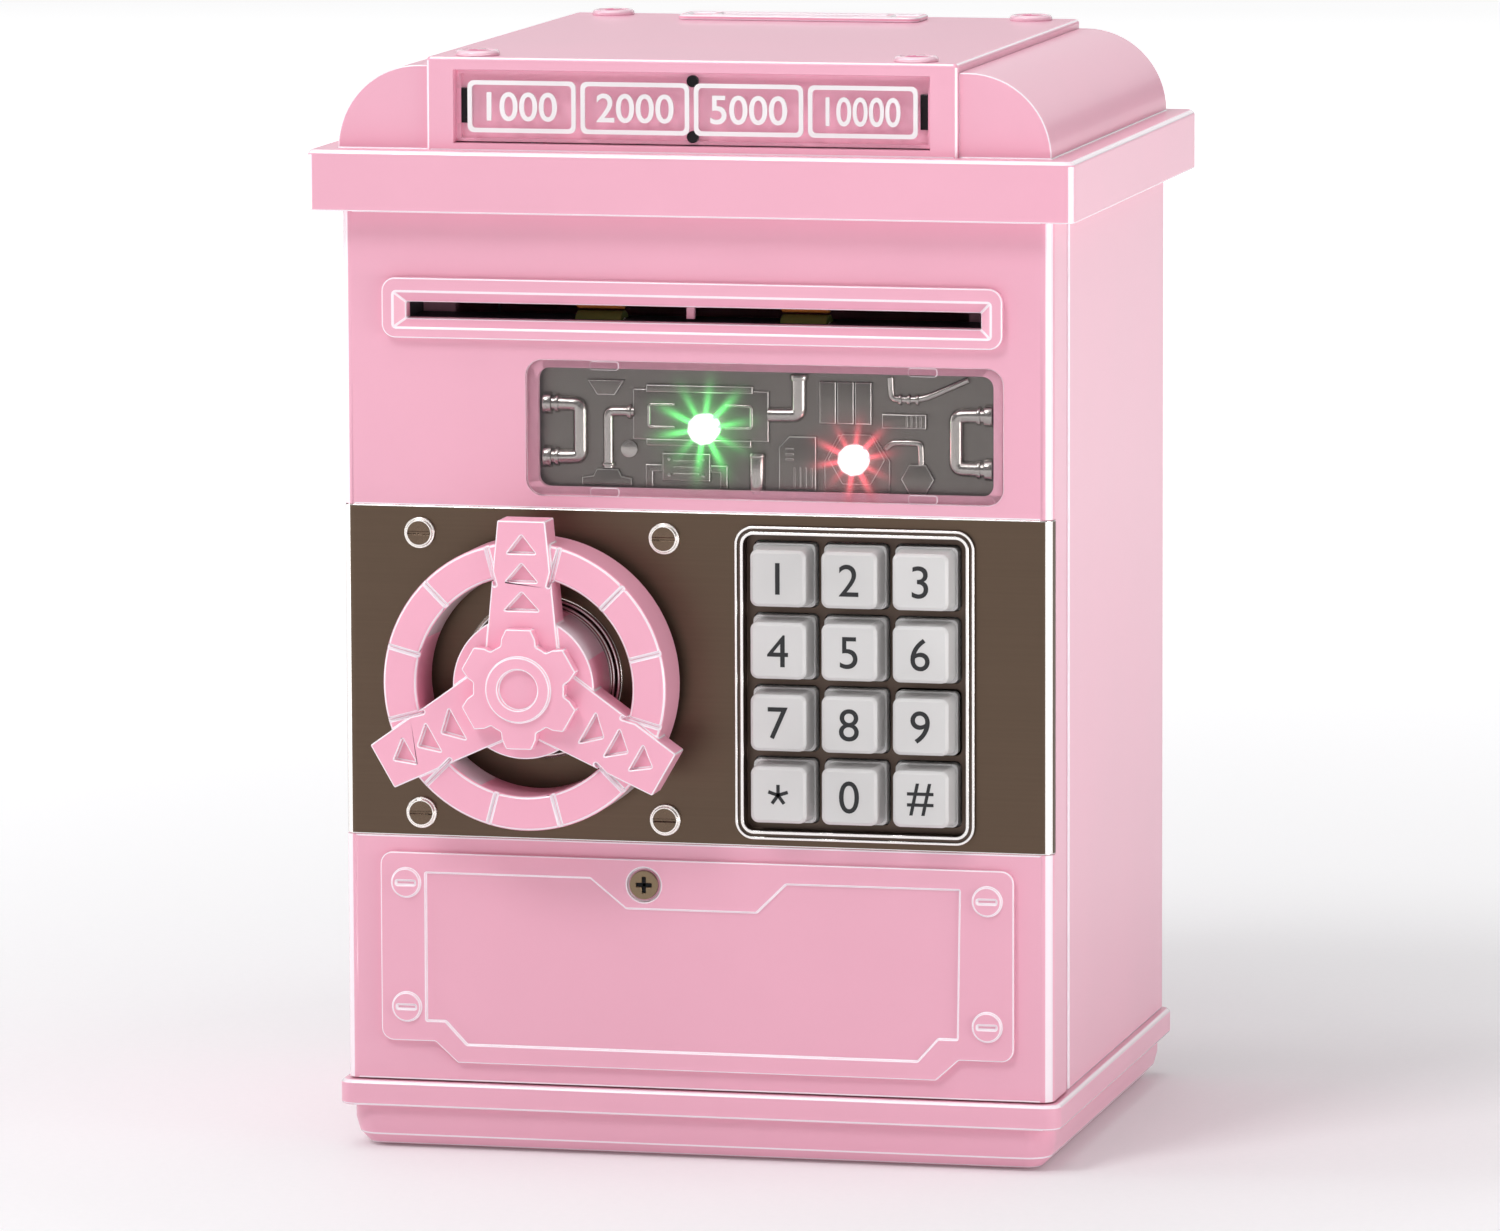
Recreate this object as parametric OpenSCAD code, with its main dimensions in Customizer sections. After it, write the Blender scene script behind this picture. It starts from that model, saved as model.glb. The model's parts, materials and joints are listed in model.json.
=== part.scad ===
// Toy safe with a coin slot, a motor-driven note slot, a keypad door and a hand wheel.
// Millimetres. X runs to the right, Y to the back, Z up.
// The origin is the middle of the flat underside, on the surface that the safe stands on.

/* [Overall size] */
// Width of the body across its side walls
body_w = 124.6; // [120:0.2:160]
// Depth of the body from the door face to the back wall
body_d = 101.2; // [84:0.2:140]
// Height from the standing surface to the top of the crown
total_h = 190; // [188:0.5:240]
// Wall thickness of the large mouldings
wall = 2.2; // [1.8:0.1:2.8]
// Radius of the upright edges of the body
edge_r = 2.2; // [1.2:0.1:3]

/* [Base] */
// Height of the base, up to the top of its rim
base_h = 12.2; // [10:0.1:16]
// Height of the rim round the top of the base
base_rim_h = 4.45; // [3:0.05:6]
// How far the base rim stands out from the body
base_rim_out = 1.35; // [0.8:0.05:3]
// Radius of the rounded lower edge of the base
base_round = 5; // [3:0.5:6]

/* [Lid and crown] */
// Height of the overhanging lid rim
lid_h = 10.5; // [8:0.1:14]
// How far the lid rim stands out at the sides
lid_out_side = 4.6; // [3:0.1:7]
// How far the lid rim stands out at the front and the back
lid_out_front = 4.9; // [3:0.1:7]
// Height of the crown above the lid rim
crown_h = 16; // [14:0.1:20]
// Width of the raised middle of the crown
crown_w = 92.6; // [88:0.2:100]
// How far the crown reaches past the door face and the back wall
crown_out = 2; // [1:0.1:3]
// Radius of the quarter-round shoulders
shoulder_r = 14.4; // [12:0.1:15.4]
// Width of the window in the front of the crown
banner_w = 83.2; // [70:0.2:86]
// Height of the window in the front of the crown
banner_h = 12.6; // [9:0.1:13]
// Length of the coin slot
coin_slot_l = 30; // [26:0.5:36]
// Width of the coin slot
coin_slot_w = 3.6; // [3:0.1:5]

/* [Door] */
// Depth of the door moulding
door_d = 14.3; // [14:0.1:18]
// Gap between the door and the mouldings round it
door_gap = 0.3; // [0.25:0.05:0.6]
// Radius of the hinge pins
hinge_pin_r = 1.25; // [1:0.05:1.5]
// Distance of the hinge axis from the side and the rear face of the door
hinge_in = 2.4; // [2.2:0.1:3]
// Clearance round pins and shafts that turn
run_fit = 0.08; // [0.05:0.01:0.1]
// Height of the middle of the note slot under the top of the door
slot_below_top = 16.95; // [16:0.05:20]
// Length of the note slot
slot_l = 100.6; // [80:0.2:104]
// Height of the note slot
slot_h = 2.8; // [2.2:0.1:3.4]
// Height of the middle of the picture window under the top of the door
window_below_top = 36.7; // [36:0.1:40]
// Width of the picture window cover
window_w = 83.6; // [70:0.2:90]
// Height of the picture window cover
window_h = 23.5; // [20:0.1:25]
// Distance from the right side of the body to the picture window cover
window_from_right = 8.4; // [7:0.1:12]

/* [Band and keypad] */
// Height of the lower edge of the metal band
band_z = 55.1; // [54:0.1:60]
// Height of the metal band from edge to edge
band_h = 57.5; // [56:0.1:58]
// Sheet thickness of the metal band
band_t = 0.5; // [0.3:0.05:0.8]
// Distance from the right side of the body to the middle of the keypad
keypad_from_right = 34.3; // [32:0.1:40]
// Distance between the middles of neighbouring keys
key_pitch = 12.4; // [12.1:0.05:13]
// Width of the top of a key
key_w = 9.7; // [8.5:0.1:10]
// Width of a key where it passes through the keypad floor
key_root_w = 10.9; // [10.2:0.1:11]
// How far the key tops stand out from the door face
key_out = 5; // [3.5:0.1:6]
// Travel of a key
key_travel = 1.2; // [0.8:0.1:1.4]

/* [Hand wheel and lock] */
// Distance from the left side of the body to the wheel shaft
wheel_from_left = 35.4; // [34:0.1:40]
// Outer radius of the wheel ring
ring_r = 24.9; // [22:0.1:26]
// Radial width of the wheel ring
ring_wide = 6; // [4:0.1:7]
// Depth of the wheel ring from front to back
ring_deep = 10.5; // [7:0.1:11]
// How far the front of the ring stands out from the door face
ring_out = 13.4; // [11:0.1:15]
// Radius of the tips of the three spokes
spoke_r = 28.6; // [26:0.1:29]
// Radius of the wheel shaft
shaft_r = 3; // [2.5:0.1:3.5]
// Length of the latch arm from the shaft axis to its tip
latch_r = 29; // [26:0.1:30]
// Travel of the lock plunger
plunger_travel = 3; // [2:0.1:3.4]

/* [Battery bay] */
// Distance from the side of the body to the battery cover
cover_side = 6.5; // [5:0.1:9]
// Height of the lower edge of the battery cover
cover_z = 15.8; // [15:0.1:18]
// Height of the upper edge of the battery cover
cover_top_z = 52.4; // [50:0.1:53.2]
// Diameter of a battery cell
cell_d = 14.2; // [13.8:0.1:14.5]
// Length of a battery cell
cell_l = 49; // [48:0.1:50]

/* [Hidden] */
$fn = 48;

pink = [0.95, 0.69, 0.79];
steel = [0.75, 0.75, 0.76];

// Half sizes, and the heights that stack up from the base to the crown
hw = body_w / 2;
hd = body_d / 2;
lid_z = total_h - crown_h - lid_h;
lid_top = lid_z + lid_h;
door_z0 = base_h + door_gap;
door_z1 = lid_z - door_gap;
slot_z = door_z1 - slot_below_top;
window_z = door_z1 - window_below_top;
mid_z = band_z + band_h / 2 - 0.35;
wheel_x = -hw + wheel_from_left;
keypad_x = hw - keypad_from_right;
window_x = hw - window_from_right - window_w / 2;

// Depths behind the door face
cabinet_t = door_d + door_gap;
cover_t = door_d - 1.8;
key_floor_t = 2.1;
key_flange_t = 3.4;
key_stem_t = 4.4;
membrane_t = key_stem_t + key_travel + 0.1;
cam_t = door_d + 3.5;
cam_thick = 3;
lock_t = cam_t + cam_thick / 2;

// Hinge axis, near the right rear edge of the door
hinge_x = hw - hinge_in;
hinge_y = -hd + door_d - hinge_in;
pin_reach = 3.5;

// Screws that hold the base and the lid to the posts of the cabinet
post_r = 3.4;
post_in = 10;
post_x = hw - post_in;
post_y1 = hd - post_in;
screw_r = 1.3;
head_r = 2.6;

// Note feeder
feed_t = 7.4;
tyre_r = 4;
pinch_r = 2.6;
nip = 0.15;
motor_r = 4;
roller_z = slot_z - nip - tyre_r;
pinch_z = slot_z + nip + pinch_r;
motor_z = pinch_z + pinch_r + 0.7 + motor_r;
feed_x = slot_l / 2 + 0.6;
cheek = 1.4;
gear_w = 2.6;
gear_x = feed_x + cheek + 0.4;
tooth_m = 0.5;
pinion_n = 10;
idler_n = 14;
roller_n = 19;
idler_dist_p = tooth_m * (pinion_n + idler_n) / 2;
idler_dist_r = tooth_m * (roller_n + idler_n) / 2;
train_h = motor_z - roller_z;
idler_up = (train_h * train_h + idler_dist_r * idler_dist_r - idler_dist_p * idler_dist_p)
    / (2 * train_h);
idler_back = sqrt(idler_dist_r * idler_dist_r - idler_up * idler_up);
idler_t = feed_t + idler_back;
idler_z = roller_z + idler_up;
// Directions between the gear axes, and the turn that puts each tooth into a gap
to_idler = atan2(idler_z - motor_z, idler_t - feed_t);
to_roller = atan2(roller_z - idler_z, feed_t - idler_t);
idler_turn = to_idler + 180 + 180 / idler_n;
roller_turn = to_roller + 180 - (idler_turn - to_roller) * idler_n / roller_n + 180 / roller_n;

// Wheel and lock
hub_r = 12.4;
cam_r = 10;
notch_deep = plunger_travel + 0.4;
notch_w = 6;
plunger_r = 2.5;
plunger_x = wheel_x + cam_r + 0.6;
solenoid_x = plunger_x + 3.4;
solenoid_l = 22;
solenoid_h = 11;
plunger_l = solenoid_l + 9;

// Battery bay
box_t = cover_t + cell_d / 2 + 0.2;
post_y0 = -hd + box_t + post_r + 1;
bay_w = 2 * cell_l + 7;
bay_z0 = cover_z + 5;
bay_z1 = cover_top_z - 1.4;
cell_x = cell_l / 2 + 1.4;
cell_z0 = bay_z0 + 0.4 + cell_d / 2;
cell_z1 = cell_z0 + cell_d + 0.6;
cover_x = hw - cover_side;
cover_screw_x = -9;
cover_screw_z = cover_top_z - 4.4;
cell_t = box_t - 1.6 - cell_d / 2;

// Lamps in the picture window
led_g = [window_x - 10.6, window_z + 0.3];
led_r = [window_x + 15.6, window_z - 4.4];

// Band and its bolts
band_wrap = 3;
bolt_r = 2.7;

// Top of the lid's screw posts, inside the wall of the shoulders
lid_post_top = lid_top + sqrt(pow(shoulder_r - wall / 2, 2) - pow(shoulder_r - post_in + post_r, 2));

// Crown window, coin slot and studs
banner_z = total_h - 8.5;
coin_x = -2;
coin_y = hd - 8;
stud_x = crown_w / 2 - 8;
stud_y = hd + crown_out - 4.3;

// Place of a depth behind the door face
function at(t) = -hd + t;

// ---------- shared shapes ----------

// Rectangle with round corners, about the origin
module rrect(w, h, r) {
    square([w - 2 * r, h], center = true);
    square([w, h - 2 * r], center = true);
    for (i = [-1, 1], j = [-1, 1]) translate([i * (w / 2 - r), j * (h / 2 - r)]) circle(r);
}

// Front outline given in X and Z, made solid between two depths behind the door face
module slab(t0, t1) {
    translate([0, at(t1), 0]) rotate([90, 0, 0]) linear_extrude(t1 - t0) children();
}

// Rod along Y between two depths
module rod(x, z, r, t0, t1) {
    translate([x, at(t0), z]) rotate([-90, 0, 0]) cylinder(r = r, h = t1 - t0);
}

// Rod along X
module cross_rod(x0, x1, t, z, r) {
    translate([x0, at(t), z]) rotate([0, 90, 0]) cylinder(r = r, h = x1 - x0);
}

// Outline in Y and Z, made solid from x0 over a width
module side_slab(x0, w, t, z) {
    translate([x0, at(t), z]) rotate([90, 0, 90]) linear_extrude(w) children();
}

// Block with round upright edges and softened top and bottom edges
module soft_block(w, d, z0, z1, r, top_r, low_r) {
    hull() {
        for (a = [0:30:90]) {
            if (low_r > 0 || a == 0) translate([0, 0, z0 + low_r * (1 - cos(a))])
                linear_extrude(0.01) rrect(w - 2 * low_r * (1 - sin(a)),
                    d - 2 * low_r * (1 - sin(a)), max(r - low_r * (1 - sin(a)), 0.3), $fn = 32);
            if (top_r > 0 || a == 0) translate([0, 0, z1 - 0.01 - top_r * (1 - cos(a))])
                linear_extrude(0.01) rrect(w - 2 * top_r * (1 - sin(a)),
                    d - 2 * top_r * (1 - sin(a)), max(r - top_r * (1 - sin(a)), 0.3), $fn = 32);
        }
    }
}

// Screw along Z with a round head; up = 1 points the shank up
module screw_z(shank, head_h, up) {
    mirror([0, 0, up > 0 ? 0 : 1]) difference() {
        union() {
            cylinder(r = head_r, h = head_h);
            cylinder(r = screw_r, h = shank + head_h);
        }
        for (a = [0, 90]) rotate(a) cube([2.6, 0.6, 1.2], center = true);
    }
}

// Slotted bolt on a front face, head standing out from depth t
module face_bolt(x, z, t, r, out, shank, turn) {
    difference() {
        union() {
            rod(x, z, r, t - out * 0.6, t);
            rod(x, z, r * 0.86, t - out, t);
            rod(x, z, r * 0.42, t, t + shank);
        }
        translate([x, at(t - out), z]) rotate([0, turn, 0]) cube([1.5 * r, 0.8, 0.5], center = true);
    }
}

// Toothed wheel in its own plane, with straight-flanked teeth
module gear(n, turn) {
    r = tooth_m * n / 2;
    root = r - 0.55;
    tip = r + 0.35;
    circle(root, $fn = 48);
    for (i = [0 : n - 1]) rotate(turn + i * 360 / n)
        polygon([[root - 0.3, -0.36], [r, -0.24], [tip, -0.12],
            [tip, 0.12], [r, 0.24], [root - 0.3, 0.36]]);
}

// Closed coil of round wire along Z
module coil(r, wire, pitch, turns) {
    steps = 16;
    sides = 6;
    last = steps * turns;
    function ring(i) = [for (s = [0 : sides - 1])
        let (a = i * 360 / steps, b = s * 360 / sides, q = r + wire * cos(b))
        [q * cos(a), q * sin(a), pitch * i / steps + wire * sin(b)]];
    pts = [for (i = [0 : last]) each ring(i)];
    walls = [for (i = [0 : last - 1], s = [0 : sides - 1])
        let (a = i * sides + s, b = i * sides + (s + 1) % sides) [a, b, b + sides, a + sides]];
    low = [[for (s = [sides - 1 : -1 : 0]) s]];
    top = [[for (s = [0 : sides - 1]) last * sides + s]];
    polyhedron(pts, concat(low, walls, top));
}

// ---------- base and cabinet ----------

// Places of the four cabinet posts
module at_posts() {
    for (i = [-1, 1], y = [post_y0, post_y1]) translate([i * post_x, y, 0]) children();
}

module base() {
    lip_d = body_d + 2 * base_rim_out;
    low_w = body_w - 0.6;
    low_d = body_d - 0.6;
    floor_t = 2.4;
    color(pink) difference() {
        union() {
            soft_block(low_w, low_d, 0, base_h - base_rim_h + 0.4, edge_r + 2.8, 0, base_round);
            soft_block(body_w + 2 * base_rim_out, lip_d, base_h - base_rim_h, base_h,
                edge_r + 0.6, 0.8, 0.5);
        }
        difference() {
            translate([-hw + wall + 1, -hd + wall + 1, floor_t])
                cube([body_w - 2 * wall - 2, body_d - 2 * wall - 2, base_h]);
            translate([-hw, -hd, base_h - wall]) cube([body_w, cabinet_t + wall, wall]);
            at_posts() cylinder(r = post_r, h = base_h);
            translate([hinge_x, hinge_y, 0]) cylinder(r = hinge_in + 1, h = base_h);
        }
        at_posts() {
            translate([0, 0, -1]) cylinder(r = head_r + 0.5, h = 4);
            cylinder(r = screw_r, h = base_h + 1);
        }
        translate([hinge_x, hinge_y, base_h - pin_reach - 0.5])
            cylinder(r = hinge_pin_r + run_fit, h = pin_reach + 1);
    }
}

module base_screws() {
    color(steel) at_posts() translate([0, 0, 3 - 1.4]) screw_z(base_h + 4.4, 1.4, 1);
}

module cabinet() {
    h = lid_z - base_h;
    y0 = at(cabinet_t);
    d = body_d - cabinet_t;
    color(pink) difference() {
        union() {
            difference() {
                translate([0, 0, base_h]) linear_extrude(h) union() {
                    translate([-hw, y0]) square([body_w, d - edge_r]);
                    translate([-hw + edge_r, y0]) square([body_w - 2 * edge_r, d]);
                    for (i = [-1, 1]) translate([i * (hw - edge_r), hd - edge_r]) circle(edge_r);
                }
                translate([-hw + wall, y0 - 1, base_h + wall])
                    cube([body_w - 2 * wall, d - wall + 1, h]);
            }
            at_posts() {
                translate([0, 0, base_h]) cylinder(r = post_r, h = 14);
                translate([0, 0, lid_z - 3]) cylinder(r = post_r, h = 3);
            }
            for (i = [-1, 1], y = [post_y0, post_y1])
                translate([i > 0 ? post_x : -hw + wall / 2, y - post_r, lid_z - 3])
                    cube([post_in - wall / 2, 2 * post_r, 3]);
        }
        at_posts() {
            translate([0, 0, base_h - 1]) cylinder(r = screw_r, h = 9);
            translate([0, 0, lid_z - 4]) cylinder(r = screw_r, h = 5);
        }
    }
}

// Keeper on the left wall that the latch arm swings behind
module strike_plate() {
    lip_d = cam_t - 0.4 - (cabinet_t + 0.4);
    color(steel) difference() {
        union() {
            translate([-hw + wall, at(cabinet_t + 0.4), mid_z - 9]) cube([1.5, 16, 18]);
            translate([-hw + wall, at(cabinet_t + 0.4), mid_z - 9]) cube([6.6, lip_d, 18]);
        }
        for (k = [-5.5, 5.5]) translate([-hw + wall - 1, at(cabinet_t + 12), mid_z + k])
            rotate([0, 90, 0]) cylinder(r = screw_r, h = 4);
    }
}

// ---------- lid and crown ----------

// Outline of the two shoulders in X and Z; an inset gives the hollow inside them
module shoulder_outline(inset) {
    r = shoulder_r - inset;
    c = hw - shoulder_r;
    z0 = lid_top - (inset > 0 ? wall + 1 : 1);
    for (m = [0, 1]) mirror([m, 0]) intersection() {
        union() {
            translate([c, lid_top]) circle(r);
            translate([crown_w / 2 - 1, z0 - 1]) square([max(c - crown_w / 2 + 1, 0.1), lid_top + r - z0 + 1]);
        }
        translate([crown_w / 2 + inset, z0]) square([hw - crown_w / 2 - 2 * inset, lid_top + r - z0]);
    }
}

module lid_shell() {
    inner_w = body_w - 2 * wall;
    in_y0 = at(cabinet_t + wall);
    color(pink) difference() {
        union() {
            soft_block(body_w + 2 * lid_out_side, body_d + 2 * lid_out_front, lid_z, lid_top,
                1.6, 0.9, 0);
            slab(-0.8, body_d + 0.8) shoulder_outline(0);
        }
        // Hollow of the rim, over a soffit that rests on the cabinet
        translate([-hw - lid_out_side + wall, -hd - lid_out_front + wall, lid_z + wall])
            cube([body_w + 2 * (lid_out_side - wall), body_d + 2 * (lid_out_front - wall),
                lid_h - 2 * wall]);
        translate([-inner_w / 2, in_y0, lid_z - 1])
            cube([inner_w, hd - wall - in_y0, 2 * wall + 1]);
        slab(1.4, body_d - 1.4) shoulder_outline(wall);
        translate([-crown_w / 2 + 6, -hd + 6, lid_z + lid_h / 2])
            cube([crown_w - 12, body_d - 12, lid_h]);
        translate([hinge_x, hinge_y, lid_z - 1]) cylinder(r = hinge_pin_r + run_fit, h = 1 + wall + 2);
    }
    color(pink) difference() {
        union() {
            at_posts() translate([0, 0, lid_z]) cylinder(r = post_r, h = lid_post_top - lid_z);
            translate([hinge_x, hinge_y, lid_z + wall]) cylinder(r = hinge_in + 1, h = lid_h - 2 * wall);
        }
        at_posts() translate([0, 0, lid_z - 1]) cylinder(r = screw_r, h = 7);
        translate([hinge_x, hinge_y, lid_z - 1])
            cylinder(r = hinge_pin_r + run_fit, h = pin_reach + 1.5);
    }
}

module lid_screws() {
    color(steel) at_posts() translate([0, 0, lid_z - 3 - 1.4]) screw_z(7.5, 1.4, 1);
}

module crown_panel() {
    d = body_d + 2 * crown_out;
    color(pink) difference() {
        soft_block(crown_w, d, lid_top, total_h, 0.7, 0.7, 0);
        translate([-crown_w / 2 + wall, -d / 2 + wall, lid_top - 1])
            cube([crown_w - 2 * wall, d - 2 * wall, crown_h - wall + 1]);
        slab(-crown_out - 1, wall) translate([0, banner_z]) square([banner_w, banner_h], center = true);
        translate([coin_x, coin_y, total_h]) cube([coin_slot_l + 6, coin_slot_w + 3, 20], center = true);
        at_studs() translate([0, 0, -8]) cylinder(r = 1.6, h = 10);
    }
}

// Places of the four studs on the crown
module at_studs() {
    for (i = [-1, 1], j = [-1, 1]) translate([i * stud_x, j * stud_y, total_h]) children();
}

module crown_studs() {
    color(pink) at_studs() {
        rotate_extrude() polygon([[0, 0], [3.8, 0], [3.8, 0.5], [3.5, 0.85], [3, 0.95],
            [2.7, 0.6], [2.4, 0.75], [1.5, 1.05], [0, 1.15]]);
        translate([0, 0, -wall]) cylinder(r = 1.6, h = wall + 0.2);
    }
}

module coin_slot_frame() {
    w = coin_slot_l + 14;
    d = coin_slot_w + 7;
    color(pink) translate([coin_x, coin_y, 0]) difference() {
        union() {
            translate([0, 0, total_h]) linear_extrude(0.9) rrect(w, d, 2);
            translate([0, 0, total_h - 12])
                linear_extrude(12.4) square([coin_slot_l + 6, coin_slot_w + 3], center = true);
        }
        translate([0, 0, total_h]) cube([coin_slot_l, coin_slot_w, 40], center = true);
        translate([0, 0, total_h + 0.5]) linear_extrude(2) difference() {
            rrect(w - 2, d - 2, 1.4);
            rrect(coin_slot_l + 3, coin_slot_w + 2, 1);
        }
    }
}

// Floor of the crown window, with clip slots at its ends
module banner_backing() {
    front = wall - crown_out;
    color([0.9, 0.5, 0.66]) difference() {
        slab(front, front + 2.8) translate([0, banner_z])
            square([banner_w + 4, banner_h - 0.4], center = true);
        slab(front - 1, front + 1.4) translate([0, banner_z])
            square([banner_w - 1.6, banner_h - 1.6], center = true);
        banner_slots() slab(-3, wall + 5) square([2.2, 6], center = true);
    }
}

// Places of the dark slots at the two ends of the banner
module banner_slots() {
    for (i = [-1, 1]) translate([i * (banner_w / 2 - 1.2), 0, banner_z]) children();
}

// Clear plate with four framed number panels
module banner_pane() {
    n = 4;
    pitch = (banner_w - 3.8) / n;
    back = wall - crown_out;
    color([1, 0.85, 0.9, 0.5]) difference() {
        union() {
            slab(back - 0.9, back) translate([0, banner_z]) rrect(banner_w - 0.6, banner_h - 0.6, 0.8);
            for (k = [0 : n - 1]) slab(back - 1.2, back - 0.9)
                translate([(k - (n - 1) / 2) * pitch, banner_z]) difference() {
                    rrect(pitch - 1, banner_h - 3.6, 1.3);
                    rrect(pitch - 2, banner_h - 4.6, 0.9);
                }
        }
        banner_slots() slab(-3, wall + 5) square([2.2, 6], center = true);
        for (j = [-1, 1]) rod(0, banner_z + j * 4.75, 1.05, back - 2, back + 3);
    }
}

// ---------- door ----------

// Plan of the door, set in all round by a margin at its front and sides
module door_plan(inset) {
    r = edge_r - inset;
    w = hw - inset;
    d = door_d - inset;
    translate([-w, at(inset) + r]) square([w - 1, d - r]);
    translate([-w + r, at(inset)]) square([2 * (w - r), 4]);
    translate([-w + r, at(inset) + r]) circle(r);
    translate([w - r, at(inset) + r]) circle(r);
    translate([-2, at(inset) + r]) square([w + 2, d - r - hinge_in]);
    translate([-2, at(inset) + r]) square([hinge_x + 2, d - r]);
    translate([hinge_x, hinge_y]) circle(hinge_in - inset);
}

// Holes that go through the door face, as outlines in X and Z
module door_face_holes() {
    translate([0, slot_z]) square([slot_l + 2, slot_h + 3], center = true);
    translate([window_x, window_z]) rrect(window_w - 4, window_h - 3, 2);
    translate([keypad_x, mid_z]) rrect(3 * key_pitch + 3.2, 4 * key_pitch + 3, 2.5);
    translate([0, (bay_z0 + bay_z1) / 2]) square([bay_w, bay_z1 - bay_z0], center = true);
}

// The two pins stand in the upper and the lower wall of the door
module hinge_pins() {
    color(steel) translate([hinge_x, hinge_y, 0]) {
        translate([0, 0, door_z1 - 7]) cylinder(r = hinge_pin_r, h = 7 + door_gap + pin_reach);
        translate([0, 0, base_h - pin_reach]) cylinder(r = hinge_pin_r, h = 7 + door_gap + pin_reach);
    }
}

module door_shell() {
    h = door_z1 - door_z0;
    color(pink) difference() {
        union() {
            difference() {
                translate([0, 0, door_z0]) linear_extrude(h) door_plan(0);
                translate([-hw + wall, at(wall), door_z0 + wall])
                    cube([body_w - 2 * wall, door_d, h - 2 * wall]);
                slab(-1, wall + 1) door_face_holes();
                // Seat of the picture window cover
                slab(-1, 1) translate([window_x, window_z]) rrect(window_w, window_h, 3);
                // Seat of the metal band, round both front edges
                translate([0, 0, band_z]) linear_extrude(band_h) intersection() {
                    difference() {
                        door_plan(-0.5);
                        door_plan(band_t);
                    }
                    translate([-hw - 1, at(-1)]) square([body_w + 2, 1 + band_wrap]);
                }
            }
            for (z = [door_z0, door_z1 - 8]) translate([hinge_x, hinge_y, z])
                cylinder(r = hinge_in, h = 8);
            rod(wheel_x, mid_z, shaft_r + 3, band_t, cover_t);
            at_cover_posts() rod(0, 0, 2.6, 1, cover_t);
        }
        rod(wheel_x, mid_z, shaft_r + run_fit, -1, door_d);
        at_cover_posts() rod(0, 0, screw_r, 4, door_d);
        at_band_bolts() rod(0, 0, bolt_r * 0.42, -1, 4);
        translate([hinge_x, hinge_y, door_z1 - 7]) cylinder(r = hinge_pin_r, h = 8);
        translate([hinge_x, hinge_y, door_z0 - 1]) cylinder(r = hinge_pin_r, h = 8);
    }
}

// Places of the six screws that hold the inner cover of the door
module at_cover_posts() {
    left = -hw + wall + 3.6;
    right = hw - wall - 6.6;
    z = [door_z0 + wall + 42.5, band_z + band_h - 5, door_z1 - wall - 3.6];
    for (p = [[left, z[0]], [right, z[0]], [left, z[1]], [right, z[1]], [left, z[2]], [12, z[2]]])
        translate([p[0], 0, p[1]]) children();
}

// Places of the four bolts round the wheel
module at_band_bolts() {
    for (i = [-1, 1], j = [-1, 1]) translate([wheel_x + i * 21.6, 0, mid_z + 0.1 + j * 24.3]) children();
}

module door_back_cover() {
    z0 = door_z0 + wall + 0.2;
    z1 = door_z1 - wall - 0.2;
    m = 0.2;
    color(pink) difference() {
        slab(cover_t, door_d) translate([-hw + wall + m, z0])
            square([body_w - 2 * wall - 2 * m - 3, z1 - z0]);
        slab(cover_t - 1, door_d + 1) {
            translate([0, slot_z]) square([slot_l - 10, slot_h + 3], center = true);
            translate([0, (bay_z0 + bay_z1) / 2])
                square([bay_w + 3, bay_z1 - bay_z0 + 3], center = true);
            translate([gear_x - 0.8, roller_z - 6]) square([gear_w + 1.6, train_h + 10]);
        }
        rod(wheel_x, mid_z, shaft_r + 0.6, cover_t - 1, door_d + 1);
        at_cover_posts() rod(0, 0, screw_r + 0.2, cover_t - 1, door_d + 1);
    }
}

module back_cover_screws() {
    color(steel) at_cover_posts() {
        difference() {
            union() {
                rod(0, 0, head_r, door_d, door_d + 1.4);
                rod(0, 0, screw_r, cover_t - 6, door_d + 0.5);
            }
            for (a = [0, 90]) translate([0, at(door_d + 1.4), 0]) rotate([0, a, 0])
                cube([2.6, 1.2, 0.6], center = true);
        }
    }
}

module bill_slot_bezel() {
    w = slot_l + 8;
    h = slot_h + 7.6;
    color(pink) translate([-0.4, 0, 0]) difference() {
        union() {
            slab(-1.5, 0) translate([0, slot_z + 0.5]) rrect(w, h, 2.4);
            slab(0, wall + 0.6) translate([0.4, slot_z]) square([slot_l + 2, slot_h + 3], center = true);
        }
        slab(-2, wall + 2) translate([0, slot_z]) square([slot_l, slot_h], center = true);
        // Sloped lead-in towards the slot
        hull() {
            slab(-1.51, -1.5) translate([0, slot_z + 0.2]) square([w - 4, h - 4.2], center = true);
            slab(0.1, 0.11) translate([0, slot_z]) square([slot_l, slot_h], center = true);
        }
    }
}

module window_cover() {
    color([0.95, 0.9, 0.95, 0.35]) union() {
        slab(-0.2, 1) translate([window_x, window_z]) rrect(window_w, window_h, 3);
        for (i = [-1, 1], j = [-1, 1]) slab(-0.5, -0.2)
            translate([window_x + i * (window_w / 2 - 14), window_z + j * (window_h / 2 - 0.9)])
                rrect(5, 1.4, 0.5);
    }
}

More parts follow.
